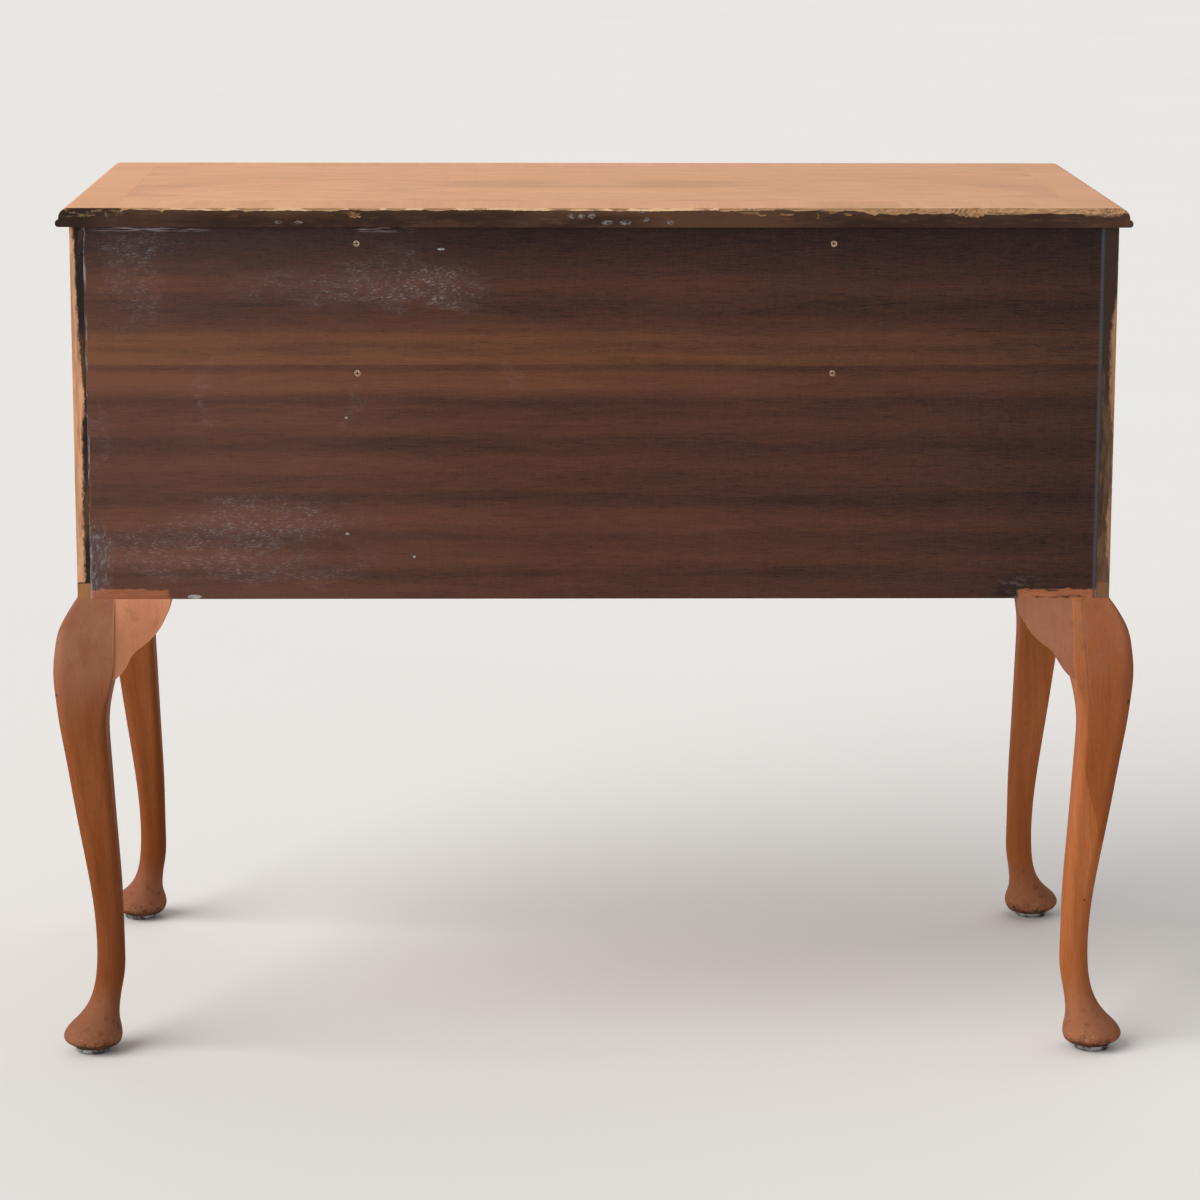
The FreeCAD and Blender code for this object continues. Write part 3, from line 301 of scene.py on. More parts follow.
# Scuffed places: middle across and up, half width, half height and strength.
SCUFFS = (
    (0.417, 0.717, 0.042, 0.048, 0.40), (0.178, 0.719, 0.096, 0.032, 0.45),
    (0.142, 0.709, 0.052, 0.020, 0.60), (0.302, 0.502, 0.098, 0.032, 0.65),
    (0.380, 0.474, 0.096, 0.032, 0.50), (0.277, 0.456, 0.090, 0.020, 0.45),
    (0.350, 0.620, 0.011, 0.036, 0.40), (0.223, 0.607, 0.011, 0.022, 0.35),
    (0.081, 0.631, 0.013, 0.015, 0.30), (0.448, 0.578, 0.009, 0.040, 0.35),
    (0.410, 0.752, 0.055, 0.013, 0.35), (0.255, 0.712, 0.090, 0.018, 0.35),
)
CORNER_SCUFF = (0.4590, 0.4660, 0.0240, 0.0420)
# Flakes: middle across and up, half length and half height.
FLAKES = (
    (0.3650, 0.4310, 0.0110, 0.0030), (0.2245, 0.4890, 0.0030, 0.0024), (0.1380, 0.7480, 0.0046, 0.0016),
    (0.1640, 0.4680, 0.0022, 0.0016), (0.2245, 0.5957, 0.0020, 0.0016),
)
# Scrapes under the top: from and to across the panel, how long their ends fade, and how far down they begin
# and are full.
SCRAPES = ((0.340, 0.455), (0.155, 0.235))
SCRAPE_FADE = 0.02
SCRAPE_DOWN = (0.0062, 0.0016)
# Lines along the ends of the panel: a rubbed one, from where it begins to where it is full, and the middle
# of a painted reflection along the rounded edge of the other end, and its width.
RUBBED_LINE = (0.0026, 0.0012)
REFLECTION_MIDDLE = 0.0020
REFLECTION_LINE = (0.0026, 0.0004)
# Strips of bare wood above the legs: their height and inner end, how uneven these are, and half of each
# margin.
STRIP_HEIGHT = 0.0086
STRIP_END = 0.388
STRIP_RAGGED = (0.0056, 0.0080)
STRIP_MARGIN = (0.0008, 0.0020)
# A dark smear beside one strip: middle across and up, half width and half height.
SMEAR = (-0.374, 0.437, 0.034, 0.015)


def spot(x, z, across, up, half_width, half_height):
    """1 in the middle of a spot and 0 at its rim."""
    far_x = (x - across) / half_width
    far_z = (z - up) / half_height
    return ease(far_x * far_x + far_z * far_z, 1.0, 0.1)


def between(value, begin, full, fading, end):
    """1 from full to fading, and 0 before begin and after end."""
    return ease(value, begin, full) * ease(value, end, fading)


def total(shares):
    """The sum of some shares, 1 at most."""
    added = shares[0]
    for share in shares[1:]:
        added = added + share
    return added.math("MINIMUM", added, 1.0)


panel_low, panel_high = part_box("back_panel")
stained_back, place = new_finish("stained_back")
x, y, z = axes(place)
reach = x.size()
waver = z + (cloud(place, (0.22, 1.0, 1.0), 9.0, 4.0) - 0.5) * 0.012
golden = between(waver, *LIGHT_BAND) + between(waver, *SECOND_BAND) * SECOND_SHARE
patchy = cloud(place, (0.16, 1.0, 1.0), 34.0, 4.0, 0.6)
streak = cloud(place, LENGTHWISE, 150.0, 5.0, 0.65)
tone = PLAIN_TONE + golden * (0.02 + streak * 0.24) + (patchy - 0.5) * 0.46 + (streak - 0.5) * 0.44
for middle, half, change in RIBBONS:
    tone = tone + ease((waver - middle).size(), half * RIBBON_FADE, 0.0) * change
# It is paler towards the end that was scuffed and darker at the other, partly from its scuffs and partly as
# painted light and shade. It is dark in its lower corners, and nearly black under the top from darker stain
# and a painted shadow of the top's overhang.
low_end = ease(x, *DARK_CORNER[0]) * ease(z, *DARK_CORNER[1]) + spot(x, z, *CORNER_SCUFF) * 2
# Painted light and shade across the panel: paler towards +x, darker towards the -x end.
tone = tone * (1 + x * 0.92 - ease(x, *PAINTED_SHADE_END) * 0.12)
tone = tone * (1 - ease(z, *DARK_STAIN_AND_SHADOW_TOP) * 0.80) * (1 - low_end * 0.24)
fibres = cloud(place, (0.08, 1.0, 1.0), 1000.0, 3.0, 0.6)
pores = ease(cloud(place, (0.06, 1.0, 1.0), 1150.0, 2.0), 0.55, 0.66)
ripple = cloud(place, (1.0, 1.0, 0.10), 420.0, 2.0)
speckle = cloud(place, (0.5, 1.0, 1.0), 900.0, 3.0, 0.7)
tone = tone + (fibres - 0.5) * 0.36 + (ripple - 0.5) * 0.12 + (speckle - 0.5) * 0.44 - pores * 0.13
stain = mix(tone, STAIN_DEEP, mix(golden, STAIN_LIGHT, STAIN_GOLD))
wander_x = x + (cloud(place, EVEN, 24.0, 4.0, 0.6) - 0.5) * 0.10
wander_z = z + (cloud(place, (0.6, 1.0, 1.0), 38.0, 4.0, 0.6) - 0.5) * 0.06
haze = total([spot(wander_x, wander_z, *where[:4]) * where[4] for where in SCUFFS])
dashes = ease(cloud(place, (0.21, 1.0, 1.0), 1300.0, 3.0, 0.6), 0.50, 0.61)
patches = ease(cloud(place, (0.55, 1.0, 1.0), 190.0, 5.0, 0.7), 0.40, 0.60)
scuffed = haze * dashes * patches
corner = spot(wander_x * 0.4 + x * 0.6, z, *CORNER_SCUFF)
brushed = ease(cloud(place, (0.55, 1.0, 0.28), 620.0, 4.0, 0.65), 0.46, 0.68)
torn = (cloud(place, (0.45, 1.0, 1.0), 620.0, 4.0, 0.7) - 0.5) * 1.8
flaked = total([ease(spot(x, z, *where) * (0.62 + torn), 0.42, 0.52) for where in FLAKES])
scraped = total([between(x, start, start + SCRAPE_FADE, end - SCRAPE_FADE, end) for start, end in SCRAPES])
scraped = scraped * ease(z, panel_high.z - SCRAPE_DOWN[0], panel_high.z - SCRAPE_DOWN[1])
scraped = scraped * ease(cloud(place, (0.045, 1.0, 1.0), 760.0, 4.0, 0.7), 0.49, 0.60)
line_wear = ease(cloud(place, (1.0, 1.0, 0.14), 300.0, 5.0, 0.7), 0.48, 0.60)
pale_line = ease(x, panel_high.x - RUBBED_LINE[0], panel_high.x - RUBBED_LINE[1]) * line_wear
painted_reflection_line = ease((x - (panel_low.x + REFLECTION_MIDDLE)).size(), *REFLECTION_LINE)
strip_top = z + ragged(place, (0.30, 1.0, 1.0), 150.0, STRIP_RAGGED[0]) - (panel_low.z + STRIP_HEIGHT)
strip_end = reach + ragged(place, (0.5, 1.0, 1.0), 120.0, STRIP_RAGGED[1]) - STRIP_END
strip = ease(strip_top, STRIP_MARGIN[0], -STRIP_MARGIN[0])
strip = strip * ease(strip_end, -STRIP_MARGIN[1], STRIP_MARGIN[1])
strip_wood = grain(place, LENGTHWISE, STRIP_TONES, 40.0, 260.0, 0.35)[0]
smoky = ease(cloud(place, (0.18, 1.0, 1.0), 240.0, 4.0, 0.65), 0.50, 0.68)
smoky = smoky * (0.35 + ease(x, 0.2, -0.2) * 0.60)
smear = spot(wander_x, z, *SMEAR)
# Pale streaks in the smear are painted highlights.
smear_painted_highlight = ease(cloud(place, (0.22, 1.0, 0.7), 420.0, 4.0, 0.65), 0.50, 0.64)
colour = mix(smear * 0.55, stain, STAIN_DEEP)
colour = mix(strip * (1 - smoky), colour, strip_wood)
dusty = ease(x, *DUSTY_END) * 0.030
colour = mix(dusty + haze * 0.045 + scuffed * 0.50, colour, SCUFF_PALE)
colour = mix(corner * (0.08 + brushed * 0.42), colour, SCUFF_PALE)
# Painted highlights on the smear.
colour = mix(smear * smear_painted_highlight * 0.13, colour, SCUFF_PALE)
colour = mix(flaked * 0.75, colour, SCRAPE_PALE)
colour = mix(scraped * 0.60, colour, SCRAPE_PALE)
colour = mix(pale_line * 0.50, colour, SCRAPE_PALE)
# Painted reflection: a blue-grey line along the rounded edge at the -x end.
colour = mix(painted_reflection_line * 0.75, colour, PAINTED_EDGE_REFLECTION)
rough = 0.46 + fibres * 0.12 + strip * 0.15 + scuffed * 0.2 - painted_reflection_line * 0.12
seal(place, colour, rough, streak * 0.4 + fibres * 0.5 - pores * 0.4 - strip * 0.6, 0.00014, 0.18)
dress(stained_back, "back_panel")


# Back screws: countersunk screws of dull brass, driven through the panel a little below its face.
# Each head has a cross recess that is full of old brown stain.
# How near two vertices are when they are one.
MERGE = 1e-6
HEAD_METAL = (0.660, 0.460, 0.340, 1.0)
HEAD_DULL = (0.350, 0.190, 0.115, 1.0)
RECESS_STAIN = (0.130, 0.052, 0.022, 1.0)
# The arms of the recess.
ARM_LENGTH = 0.0036
ARM_WIDTH = 0.0009
ARM_DEPTH = 0.0012


def bench_copy(node, name):
    """A merged copy of a CAD piece, ready to be worked on where it is."""
    bpy.ops.object.select_all(action="DESELECT")
    copy = bpy.data.objects.new(name, nodes[node].data.copy())
    bpy.context.scene.collection.objects.link(copy)
    bpy.context.view_layer.objects.active = copy
    copy.select_set(True)
    bpy.ops.object.mode_set(mode="EDIT")
    bpy.ops.mesh.select_all(action="SELECT")
    bpy.ops.mesh.remove_doubles(threshold=MERGE)
    bpy.ops.mesh.customdata_custom_splitnormals_clear()
    bpy.ops.object.mode_set(mode="OBJECT")
    return copy


def bare_finish(name, lie, tones, rough):
    """Raw wood: bands and lines of grain with no polish on it."""
    material, place = new_finish(name)
    colour, pores = grain(place, lie, tones, 16.0, 110.0)
    seal(place, colour, rough + pores * 0.15, 1 - pores, 0.0002, 0.18)
    return material


def metal_finish(name, bright, dull, rough, per_metre):
    """Old metal: bright where it is handled and dull elsewhere, with fine scratches."""
    material, place = new_finish(name)
    stain = ease(cloud(place, EVEN, per_metre, 5.0, 0.6), 0.36, 0.66)
    scratch = cloud(place, (1.0, 1.0, 0.12), 2600.0, 2.0)
    colour = mix(stain, bright, dull)
    seal(place, colour, rough + stain * 0.22 + scratch * 0.08, scratch, 0.00003, 0.5, 1.0)
    return material


def cut_away(piece, cutter):
    """Cut one piece out of another. The new faces keep the finish of what cut them."""
    bpy.ops.object.mode_set(mode="OBJECT")
    bpy.ops.object.select_all(action="DESELECT")
    bpy.context.view_layer.objects.active = piece
    piece.select_set(True)
    saw = piece.modifiers.new("saw", "BOOLEAN")
    saw.operation = "DIFFERENCE"
    saw.solver = "MANIFOLD"
    saw.material_mode = "TRANSFER"
    saw.object = cutter
    bpy.ops.object.modifier_apply(modifier=saw.name)
    bpy.data.objects.remove(cutter)


def blank(kind, finish, **sizes):
    """A primitive as a start, with its place in its mesh, all of it selected and in edit mode."""
    bpy.ops.object.select_all(action="DESELECT")
    getattr(bpy.ops.mesh, f"primitive_{kind}_add")(**sizes)
    piece = bpy.context.object
    piece.data.materials.append(finish)
    bpy.ops.object.mode_set(mode="EDIT")
    bpy.ops.mesh.select_all(action="SELECT")
    return piece


screw_low, screw_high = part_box("back_screws")
head_metal = metal_finish("screw_head_brass", HEAD_METAL, HEAD_DULL, 0.42, 400.0)
recess_stain = bare_finish("screw_recess_stain", UPRIGHT, (RECESS_STAIN,) * 3, 0.7)
screws = bench_copy("back_screws", "cross_head_screws")
screws.material_slots[0].material = head_metal
# The vertices on the flat faces of the heads show where each screw is.
flat = [vertex.co.copy() for vertex in screws.data.vertices if vertex.co.y > screw_high.y - MERGE]
middle_z = (screw_low.z + screw_high.z) / 2
for side in (-1, 1):
    for upper in (False, True):
        head = [co for co in flat if co.x * side > 0 and (co.z > middle_z) == upper]
        across = sum(co.x for co in head) / len(head)
        up = sum(co.z for co in head) / len(head)
        for wide, high in ((ARM_LENGTH, ARM_WIDTH), (ARM_WIDTH, ARM_LENGTH)):
            recess = blank("cube", recess_stain, size=1.0)
            bpy.ops.transform.resize(value=(wide, 2 * ARM_DEPTH, high))
            bpy.ops.transform.translate(value=(across, screw_high.y, up))
            cut_away(screws, recess)
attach(screws, "carcase")
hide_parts("back_screws")


# Carcase framing: rails, runners, kickers, partitions and bottom board in plain pine, glued and dowelled.
# None of it is polished. The front rails and stiles are faced with walnut, and are finished further down.
FORE_AND_AFT = (1.0, 0.06, 1.0)
PINE_TONES = ((0.250, 0.120, 0.050, 1.0), (0.520, 0.330, 0.170, 1.0), (0.640, 0.440, 0.250, 1.0))
BEECH_TONES = ((0.380, 0.230, 0.130, 1.0), (0.560, 0.380, 0.230, 1.0), (0.650, 0.470, 0.310, 1.0))
BOTTOM_TONES = ((0.130, 0.065, 0.032, 1.0), (0.300, 0.170, 0.090, 1.0), (0.390, 0.240, 0.130, 1.0))
PLATED = (0.560, 0.560, 0.580, 1.0)
PLATED_DULL = (0.300, 0.290, 0.280, 1.0)
pine_across = bare_finish("pine_across", LENGTHWISE, PINE_TONES, 0.62)
pine_deep = bare_finish("pine_deep", FORE_AND_AFT, PINE_TONES, 0.62)
dress(pine_across, "middle_rear_rail", "top_rear_rail", "drawer_stops")
dress(pine_deep, "bottom_runners", "middle_runners", "top_kickers", "left_partition", "right_partition")
dress(bare_finish("bottom_pine", LENGTHWISE, BOTTOM_TONES, 0.66), "bottom_board")
dress(bare_finish("dowel_beech", UPRIGHT, BEECH_TONES, 0.6), "leg_dowels", "rail_dowels")
dress(metal_finish("screw_steel", PLATED, PLATED_DULL, 0.4, 300.0), "top_screws")


# Top board: faded walnut veneer with a matched pair of leaves inside a crossbanded border, and a moulded
# edge on three sides. The rear edge is painted dark. Its upper arris is splintered along its length and
# broken away to the bare board towards one end.
TOP_TONES = ((0.490, 0.222, 0.116, 1.0), (0.790, 0.385, 0.200, 1.0), (0.860, 0.442, 0.236, 1.0))
BAND_TONES = ((0.530, 0.240, 0.122, 1.0), (0.780, 0.380, 0.196, 1.0), (0.840, 0.426, 0.226, 1.0))
JOINT_DARK = (0.400, 0.190, 0.100, 1.0)
CORE_TONES = ((0.150, 0.068, 0.028, 1.0), (0.400, 0.205, 0.092, 1.0), (0.600, 0.350, 0.180, 1.0))
CORE_GRUBBY = (0.120, 0.060, 0.030, 1.0)
REAR_PAINT = (0.034, 0.018, 0.013, 1.0)
REAR_WASH = (0.092, 0.044, 0.025, 1.0)
ARRIS_PALE = (0.780, 0.510, 0.285, 1.0)
# The border: its width on the ends and front and at the rear, half the width of its mitres, the width of the
# joint inside it, the length of its leaves and the share of one that is cut off at the start.
END_BAND = 0.052
REAR_BAND = 0.070
MITRE = 0.0004
INNER_JOINT = (0.0009, 0.0003)
BAND_LEAF = 0.085
LEAF_START = 0.37
# One darker leaf at the rear: where it begins, is full, starts to fade and ends, and how it fades forwards.
DARK_LEAF = (-0.276, -0.275, -0.206, -0.176)
LEAF_FADE = 0.010
# The moulded edge: how far down its colour begins, and is full.
MOULD_DOWN = (0.0010, 0.0030)
# Flecks of pale paint on the rear edge: middle across and up, half length and half height.
FLECKS = (
    (0.0216, 0.7781, 0.0044, 0.0028), (0.0126, 0.7781, 0.0040, 0.0026), (0.0036, 0.7784, 0.0044, 0.0030),
    (-0.0108, 0.7722, 0.0066, 0.0028), (-0.0270, 0.7722, 0.0064, 0.0028), (-0.0451, 0.7748, 0.0042, 0.0024),
    (-0.0667, 0.7726, 0.0038, 0.0030), (-0.0415, 0.7824, 0.0040, 0.0018), (0.2830, 0.7724, 0.0044, 0.0018),
    (0.2650, 0.7724, 0.0048, 0.0018),
)
# The bare line along the rear arris: how far down it comes, how uneven it is, half of its margin, the length
# where dark paint is kept, and the corner where the line ends.
BARE_DOWN = 0.0018
BARE_RAGGED = 0.0032
BARE_MARGIN = 0.0003
DARK_ARRIS = (-0.112, -0.140, -0.225, -0.246)
BARE_END = (0.408, 0.428)
BARE_RISE = 0.004
# The bruised corner: middle across and up, half length and half height, and where the paint is thick beside
# it.
WORN_CORNER = (0.4560, 0.7830, 0.0440, 0.0080)
THICK_PAINT = (0.420, 0.460)
# The faded strip in front of the arris: its width, how much wider it is at one end, and from where to where
# it widens.
FADED = 0.0030
FADED_MORE = 0.0130
FADED_END = (-0.100, -0.300)
# Dirt in the broken wood: how far down it begins and is deepest, and from where to where across.
DIRT_DOWN = (0.0010, 0.0080)
DIRT_END = (-0.230, -0.260)
# Splintered lengths of the rear arris: from and to across the top, how far it is worn back and down,
# how much that changes along it and how long its splinters are.
SPLINTERS = (
    (-0.246, -0.110, 0.0005, 0.0007, 0.0012, 0.011), (-0.110, 0.300, 0.0005, 0.0009, 0.0012, 0.011),
    (0.300, 0.424, 0.0009, 0.0018, 0.0016, 0.012),
)
FRAY = 0.62
# Long chips that took off the whole arris: middle across, half length, and how far they go back and down.
GOUGES = (
    (-0.2620, 0.0400, 0.0060, 0.0063), (-0.3000, 0.0320, 0.0060, 0.0052), (-0.3370, 0.0220, 0.0080, 0.0090),
    (-0.3700, 0.0350, 0.0070, 0.0068), (-0.4150, 0.0450, 0.0070, 0.0052), (-0.4450, 0.0300, 0.0070, 0.0066),
    (-0.4620, 0.0160, 0.0080, 0.0092), (-0.4820, 0.0140, 0.0050, 0.0060),
)
GOUGE_ROUND = 0.020
GOUGE_ROUGH = 0.045
GOUGE_FRAY = 0.40
# Small chips in the rear edge: middle across and up, half length and half height.
CHIPS = (
    (0.2160, 0.7790, 0.0060, 0.0026), (-0.1380, 0.7808, 0.0090, 0.0012), (-0.1480, 0.7792, 0.0050, 0.0008),
    (-0.1700, 0.7794, 0.0080, 0.0009), (-0.1980, 0.7790, 0.0016, 0.0032), (-0.2260, 0.7798, 0.0050, 0.0009),
    (-0.2120, 0.7812, 0.0040, 0.0008),
)
CHIP_ROUGH = 0.40
# How far a cutter stands out of the board, and the angle over which the broken faces stay sharp.
CUTTER_DEPTH = 0.02
SHARP_ANGLE = 12

top_low, top_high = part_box("top_board")
top_walnut, place = new_finish("top_walnut")
x, y, z = axes(place)
reach = x.size()
leaf = place.node("CombineXYZ", {}, {"X": reach, "Y": y, "Z": z})
swirl = (cloud(leaf, (0.35, 1.0, 1.0), 5.0, 3.0) - 0.5) * 0.14
bent = place.node("CombineXYZ", {}, {"X": reach, "Y": y + swirl, "Z": z})
figure, pores = grain(bent, (0.08, 1.0, 1.0), TOP_TONES, 12.0, 190.0, 0.40, 0.24)
blotch = ease(cloud(leaf, (0.45, 1.0, 1.0), 11.0, 4.0), 0.50, 0.74)
figure = mix(blotch * 0.50, figure, TOP_TONES[0])
end_gap = (top_high.x - END_BAND) - reach
rear_gap = (top_high.y - REAR_BAND) - y
front_gap = y - (top_low.y + END_BAND)
side_gap = rear_gap.math("MINIMUM", rear_gap, front_gap)
inside = end_gap.math("MINIMUM", end_gap, side_gap)
on_end = ease(end_gap - side_gap, MITRE, -MITRE)
along = x + (y - x) * on_end
number = along.math("FLOOR", along / BAND_LEAF + LEAF_START)
leaf_tone = place.node("TexWhiteNoise", {"noise_dimensions": "1D"}, {"W": number}, "Value")
end_band = grain(place, LENGTHWISE, BAND_TONES, 26.0, 160.0, 0.20, 0.18)[0]
rear_band = grain(place, FORE_AND_AFT, BAND_TONES, 26.0, 160.0, 0.20, 0.18)[0]
leaf_end = top_high.y - REAR_BAND
dark_leaf = between(x, *DARK_LEAF) * ease(y, leaf_end, leaf_end + LEAF_FADE) * (1 - on_end)
band = mix(leaf_tone * 0.16 + dark_leaf * 0.40, mix(on_end, rear_band, end_band), BAND_TONES[0])
surface = mix(ease(inside, MARGIN, -MARGIN), figure, band)
joint = ease(inside.size(), *INNER_JOINT)
surface = mix(joint * 0.18, surface, JOINT_DARK)
surface = mix(ease(x, 0.45, -0.45) * 0.22, surface, JOINT_DARK)
mould = ease(z, top_high.z - MOULD_DOWN[0], top_high.z - MOULD_DOWN[1])
edge_wood = grain(place, LENGTHWISE, SIDE_TONES)[0]
surface = mix(mould * 0.85, surface, edge_wood)
# Paint on the rear edge, thin in places, and the bare line along the arris above it.
rear = ease(y, top_high.y - SKIN[0], top_high.y - SKIN[1])
wash = ease(cloud(place, (0.12, 1.0, 0.6), 46.0, 5.0, 0.6), 0.40, 0.68)
wash = wash + ease(cloud(place, (0.16, 1.0, 1.0), 320.0, 5.0, 0.7), 0.50, 0.72) * 0.7
wash = wash + ease(z, (top_low.z + top_high.z) / 2, top_high.z) * 0.35
paint = mix(wash * (1 - ease(x, *THICK_PAINT)), REAR_PAINT, REAR_WASH)
flaking = ease(cloud(place, (0.7, 1.0, 1.0), 640.0, 5.0, 0.75), 0.42, 0.60)
flecked = total([spot(x, z, *where) for where in FLECKS]) * flaking
paint = mix(flecked * 0.48, paint, SCRAPE_PALE)
bruised = ease(cloud(place, (0.35, 1.0, 1.0), 300.0, 5.0, 0.7), 0.50, 0.66)
paint = mix(bruised * spot(x, z, *WORN_CORNER) * 0.32, paint, ARRIS_PALE)
uneven = ragged(place, (0.22, 1.0, 1.0), 130.0, BARE_RAGGED)
worn_down = (top_high.z - BARE_DOWN) + ease(x, *BARE_END) * BARE_RISE
kept = between(x, *DARK_ARRIS)
kept = kept * ease(cloud(place, (0.4, 1.0, 1.0), 160.0, 4.0, 0.65), 0.34, 0.52)
bare_line = ease(z + uneven, worn_down - BARE_MARGIN, worn_down + BARE_MARGIN) * (1 - kept * 0.9)
surface = mix(rear, surface, mix(bare_line, paint, ARRIS_PALE))
faded = FADED + ease(x, *FADED_END) * FADED_MORE
rear_face = top_high.y - SKIN[0]
near_arris = ease(y + uneven * 2, rear_face - faded, rear_face) * (1 - rear)
surface = mix(near_arris * 0.60 * (1 - mould), surface, mix(kept, ARRIS_PALE, REAR_WASH))
rough = 0.50 + pores * 0.12 + rear * 0.06
seal(place, surface, rough, 1 - pores * 0.6 - bare_line * rear * 0.6, 0.00015, 0.07)

core, place = new_finish("top_core")
x, y, z = axes(place)
splinter = ease(cloud(place, (0.05, 1.0, 1.0), 620.0, 5.0, 0.7), 0.36, 0.66)
core_wood, core_pores = grain(place, LENGTHWISE, CORE_TONES, 70.0, 420.0)
broken = mix(splinter * 0.7, core_wood, CORE_TONES[2])
deep = ease(z, top_high.z - DIRT_DOWN[0], top_high.z - DIRT_DOWN[1]) * ease(x, *DIRT_END)
grubby = ease(cloud(place, (0.20, 1.0, 1.0), 170.0, 5.0, 0.7) + deep * 0.22, 0.52, 0.78)
broken = mix(grubby * 0.75, broken, CORE_GRUBBY)
seal(place, broken, 0.72 + core_pores * 0.1, splinter, 0.0006, 0.08)

top = bench_copy("top_board", "chipped_top")
top.material_slots[0].material = top_walnut
for number, (start, end, back, down, change, facet) in enumerate(SPLINTERS):
    slope = math.hypot(back, down)
    cutter = blank("grid", core, x_subdivisions=round((end - start) / facet), y_subdivisions=2, size=1.0)
    bpy.ops.transform.resize(value=(end - start, 3 * slope + 6 * change, 1.0))
    bpy.ops.transform.rotate(value=math.atan2(down, back), orient_axis="X", center_override=(0.0, 0.0, 0.0))
    bpy.ops.transform.vertex_random(offset=change, uniform=0.0, normal=1.0, seed=number + 5)
    bpy.ops.mesh.subdivide(number_cuts=5, fractal=FRAY, fractal_along_normal=1.0, seed=number)
    middle = ((start + end) / 2, top_high.y - back / 2, top_high.z - down / 2)
    bpy.ops.transform.translate(value=middle)
    away = (0.0, down / slope * CUTTER_DEPTH, back / slope * CUTTER_DEPTH)
    bpy.ops.mesh.extrude_region_move(TRANSFORM_OT_translate={"value": away})
    bpy.ops.mesh.select_all(action="SELECT")
    bpy.ops.mesh.normals_make_consistent(inside=False)
    cut_away(top, cutter)
for number, (across, half_length, back, down) in enumerate(GOUGES):
    slope = math.hypot(back, down)
    sunk = back * down / slope
    stretch = half_length / math.sqrt(1 - (1 - sunk / GOUGE_ROUND) ** 2)
    gouge = blank("ico_sphere", core, subdivisions=5, radius=1.0)
    bpy.ops.transform.vertex_random(offset=GOUGE_ROUGH, normal=1.0, seed=number)
    bpy.ops.mesh.subdivide(number_cuts=1, fractal=GOUGE_FRAY, fractal_along_normal=1.0, seed=number)
    bpy.ops.transform.resize(value=(stretch, GOUGE_ROUND, GOUGE_ROUND), center_override=(0.0, 0.0, 0.0))
    off = (GOUGE_ROUND - sunk) / slope
    bpy.ops.transform.translate(value=(across, top_high.y + off * down, top_high.z + off * back))
    cut_away(top, gouge)
for number, (across, up, half_length, half_height) in enumerate(CHIPS):
    chip = blank("ico_sphere", core, subdivisions=3, radius=1.0)
    bpy.ops.transform.vertex_random(offset=CHIP_ROUGH, normal=1.0, seed=number)
    bpy.ops.transform.resize(value=(half_length, half_height, half_height), center_override=(0.0, 0.0, 0.0))
    bpy.ops.transform.translate(value=(across, top_high.y, up))
    cut_away(top, chip)
bpy.ops.object.shade_smooth_by_angle(angle=math.radians(SHARP_ANGLE))
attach(top, "carcase")
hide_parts("top_board")


# Cabriole legs and their ears: solid walnut, sawn and spokeshaved to shape, stained and polished.
# The ears are glued on beside the knee. Those on the right are paler than their legs, and at the back paler
# still, as painted light against the shade there. Those on the left are duller.
LEG_TONES = ((0.120, 0.031, 0.011, 1.0), (0.225, 0.065, 0.019, 1.0), (0.280, 0.088, 0.030, 1.0))
PALE_LEG_TONES = ((0.180, 0.042, 0.010, 1.0), (0.400, 0.125, 0.040, 1.0), (0.465, 0.156, 0.056, 1.0))
# Paler ears, raised further as painted light for their shaded backs.
PALE_EAR_TONES_WITH_PAINTED_LIGHT = ((0.420, 0.155, 0.070, 1.0), (0.650, 0.258, 0.130, 1.0), (0.720, 0.300, 0.155, 1.0))
DULL_EAR_TONES = ((0.155, 0.055, 0.026, 1.0), (0.275, 0.098, 0.048, 1.0), (0.325, 0.122, 0.062, 1.0))
KNEE_BLOOM = (0.352, 0.163, 0.106, 1.0)
FOOT_RED = (0.285, 0.119, 0.067, 1.0)
# Dark brown of dirt, also used as painted shade on the rim of the foot.
DIRT_AND_RIM_SHADE = (0.040, 0.022, 0.014, 1.0)
FOOT_RUB = (0.460, 0.245, 0.135, 1.0)
# Painted light for the shaded seam beside the right ear.
SEAM_PAINTED_LIGHT = (0.460, 0.205, 0.118, 1.0)
LEG_LIE = (1.0, 1.0, 0.035)
LEG_LEAN = (0.035, -0.05, 0.0)
# Where a tone begins and where it is full: the rear legs fore and aft, the sides of the ears, which lose the
# painted light, fore and aft, the darker lower leg up, and the bloom on the knee down from the top.
REAR_LEGS = (0.10, 0.12)
EAR_SIDES = (0.205, 0.195)
LOWER_LEG = (0.26, 0.06)
BLOOM_DOWN = (0.150, 0.010)
# The same on the foot, up from the sole: its redder tone, its rubbed places and the dirt and painted shade
# on its rim.
FOOT_UP = (0.070, 0.022)
RUB_UP = (0.026, 0.008)
RIM_UP = (0.0095, 0.0030)
RIM_RAGGED = 0.028
# One growth line down the rear left leg: across at the top, below the knee and where it runs out, the
# heights between which it moves over, the width of the line, of the darker part past it, which is painted
# shade on the face turned from the light, and how it fades at its foot.
GROWTH_ACROSS = (-0.4450, -0.4520, -0.4660)
GROWTH_RUN = ((0.416, 0.320), (0.275, 0.205))
GROWTH_WIDTH = (0.0016, 0.0003)
PAINTED_SHADE_PAST_GROWTH = (-0.001, 0.003)
GROWTH_FADE = 0.01
# Nicks: where they are across, fore and aft and up, half width and half height.
NICKS = (
    (0.4900, 0.2480, 0.343, 0.0024, 0.0014), (-0.4880, 0.2495, 0.336, 0.0016, 0.0040),
    (-0.4560, 0.2267, 0.142, 0.0012, 0.0016),
)
NICK_REACH = 0.004
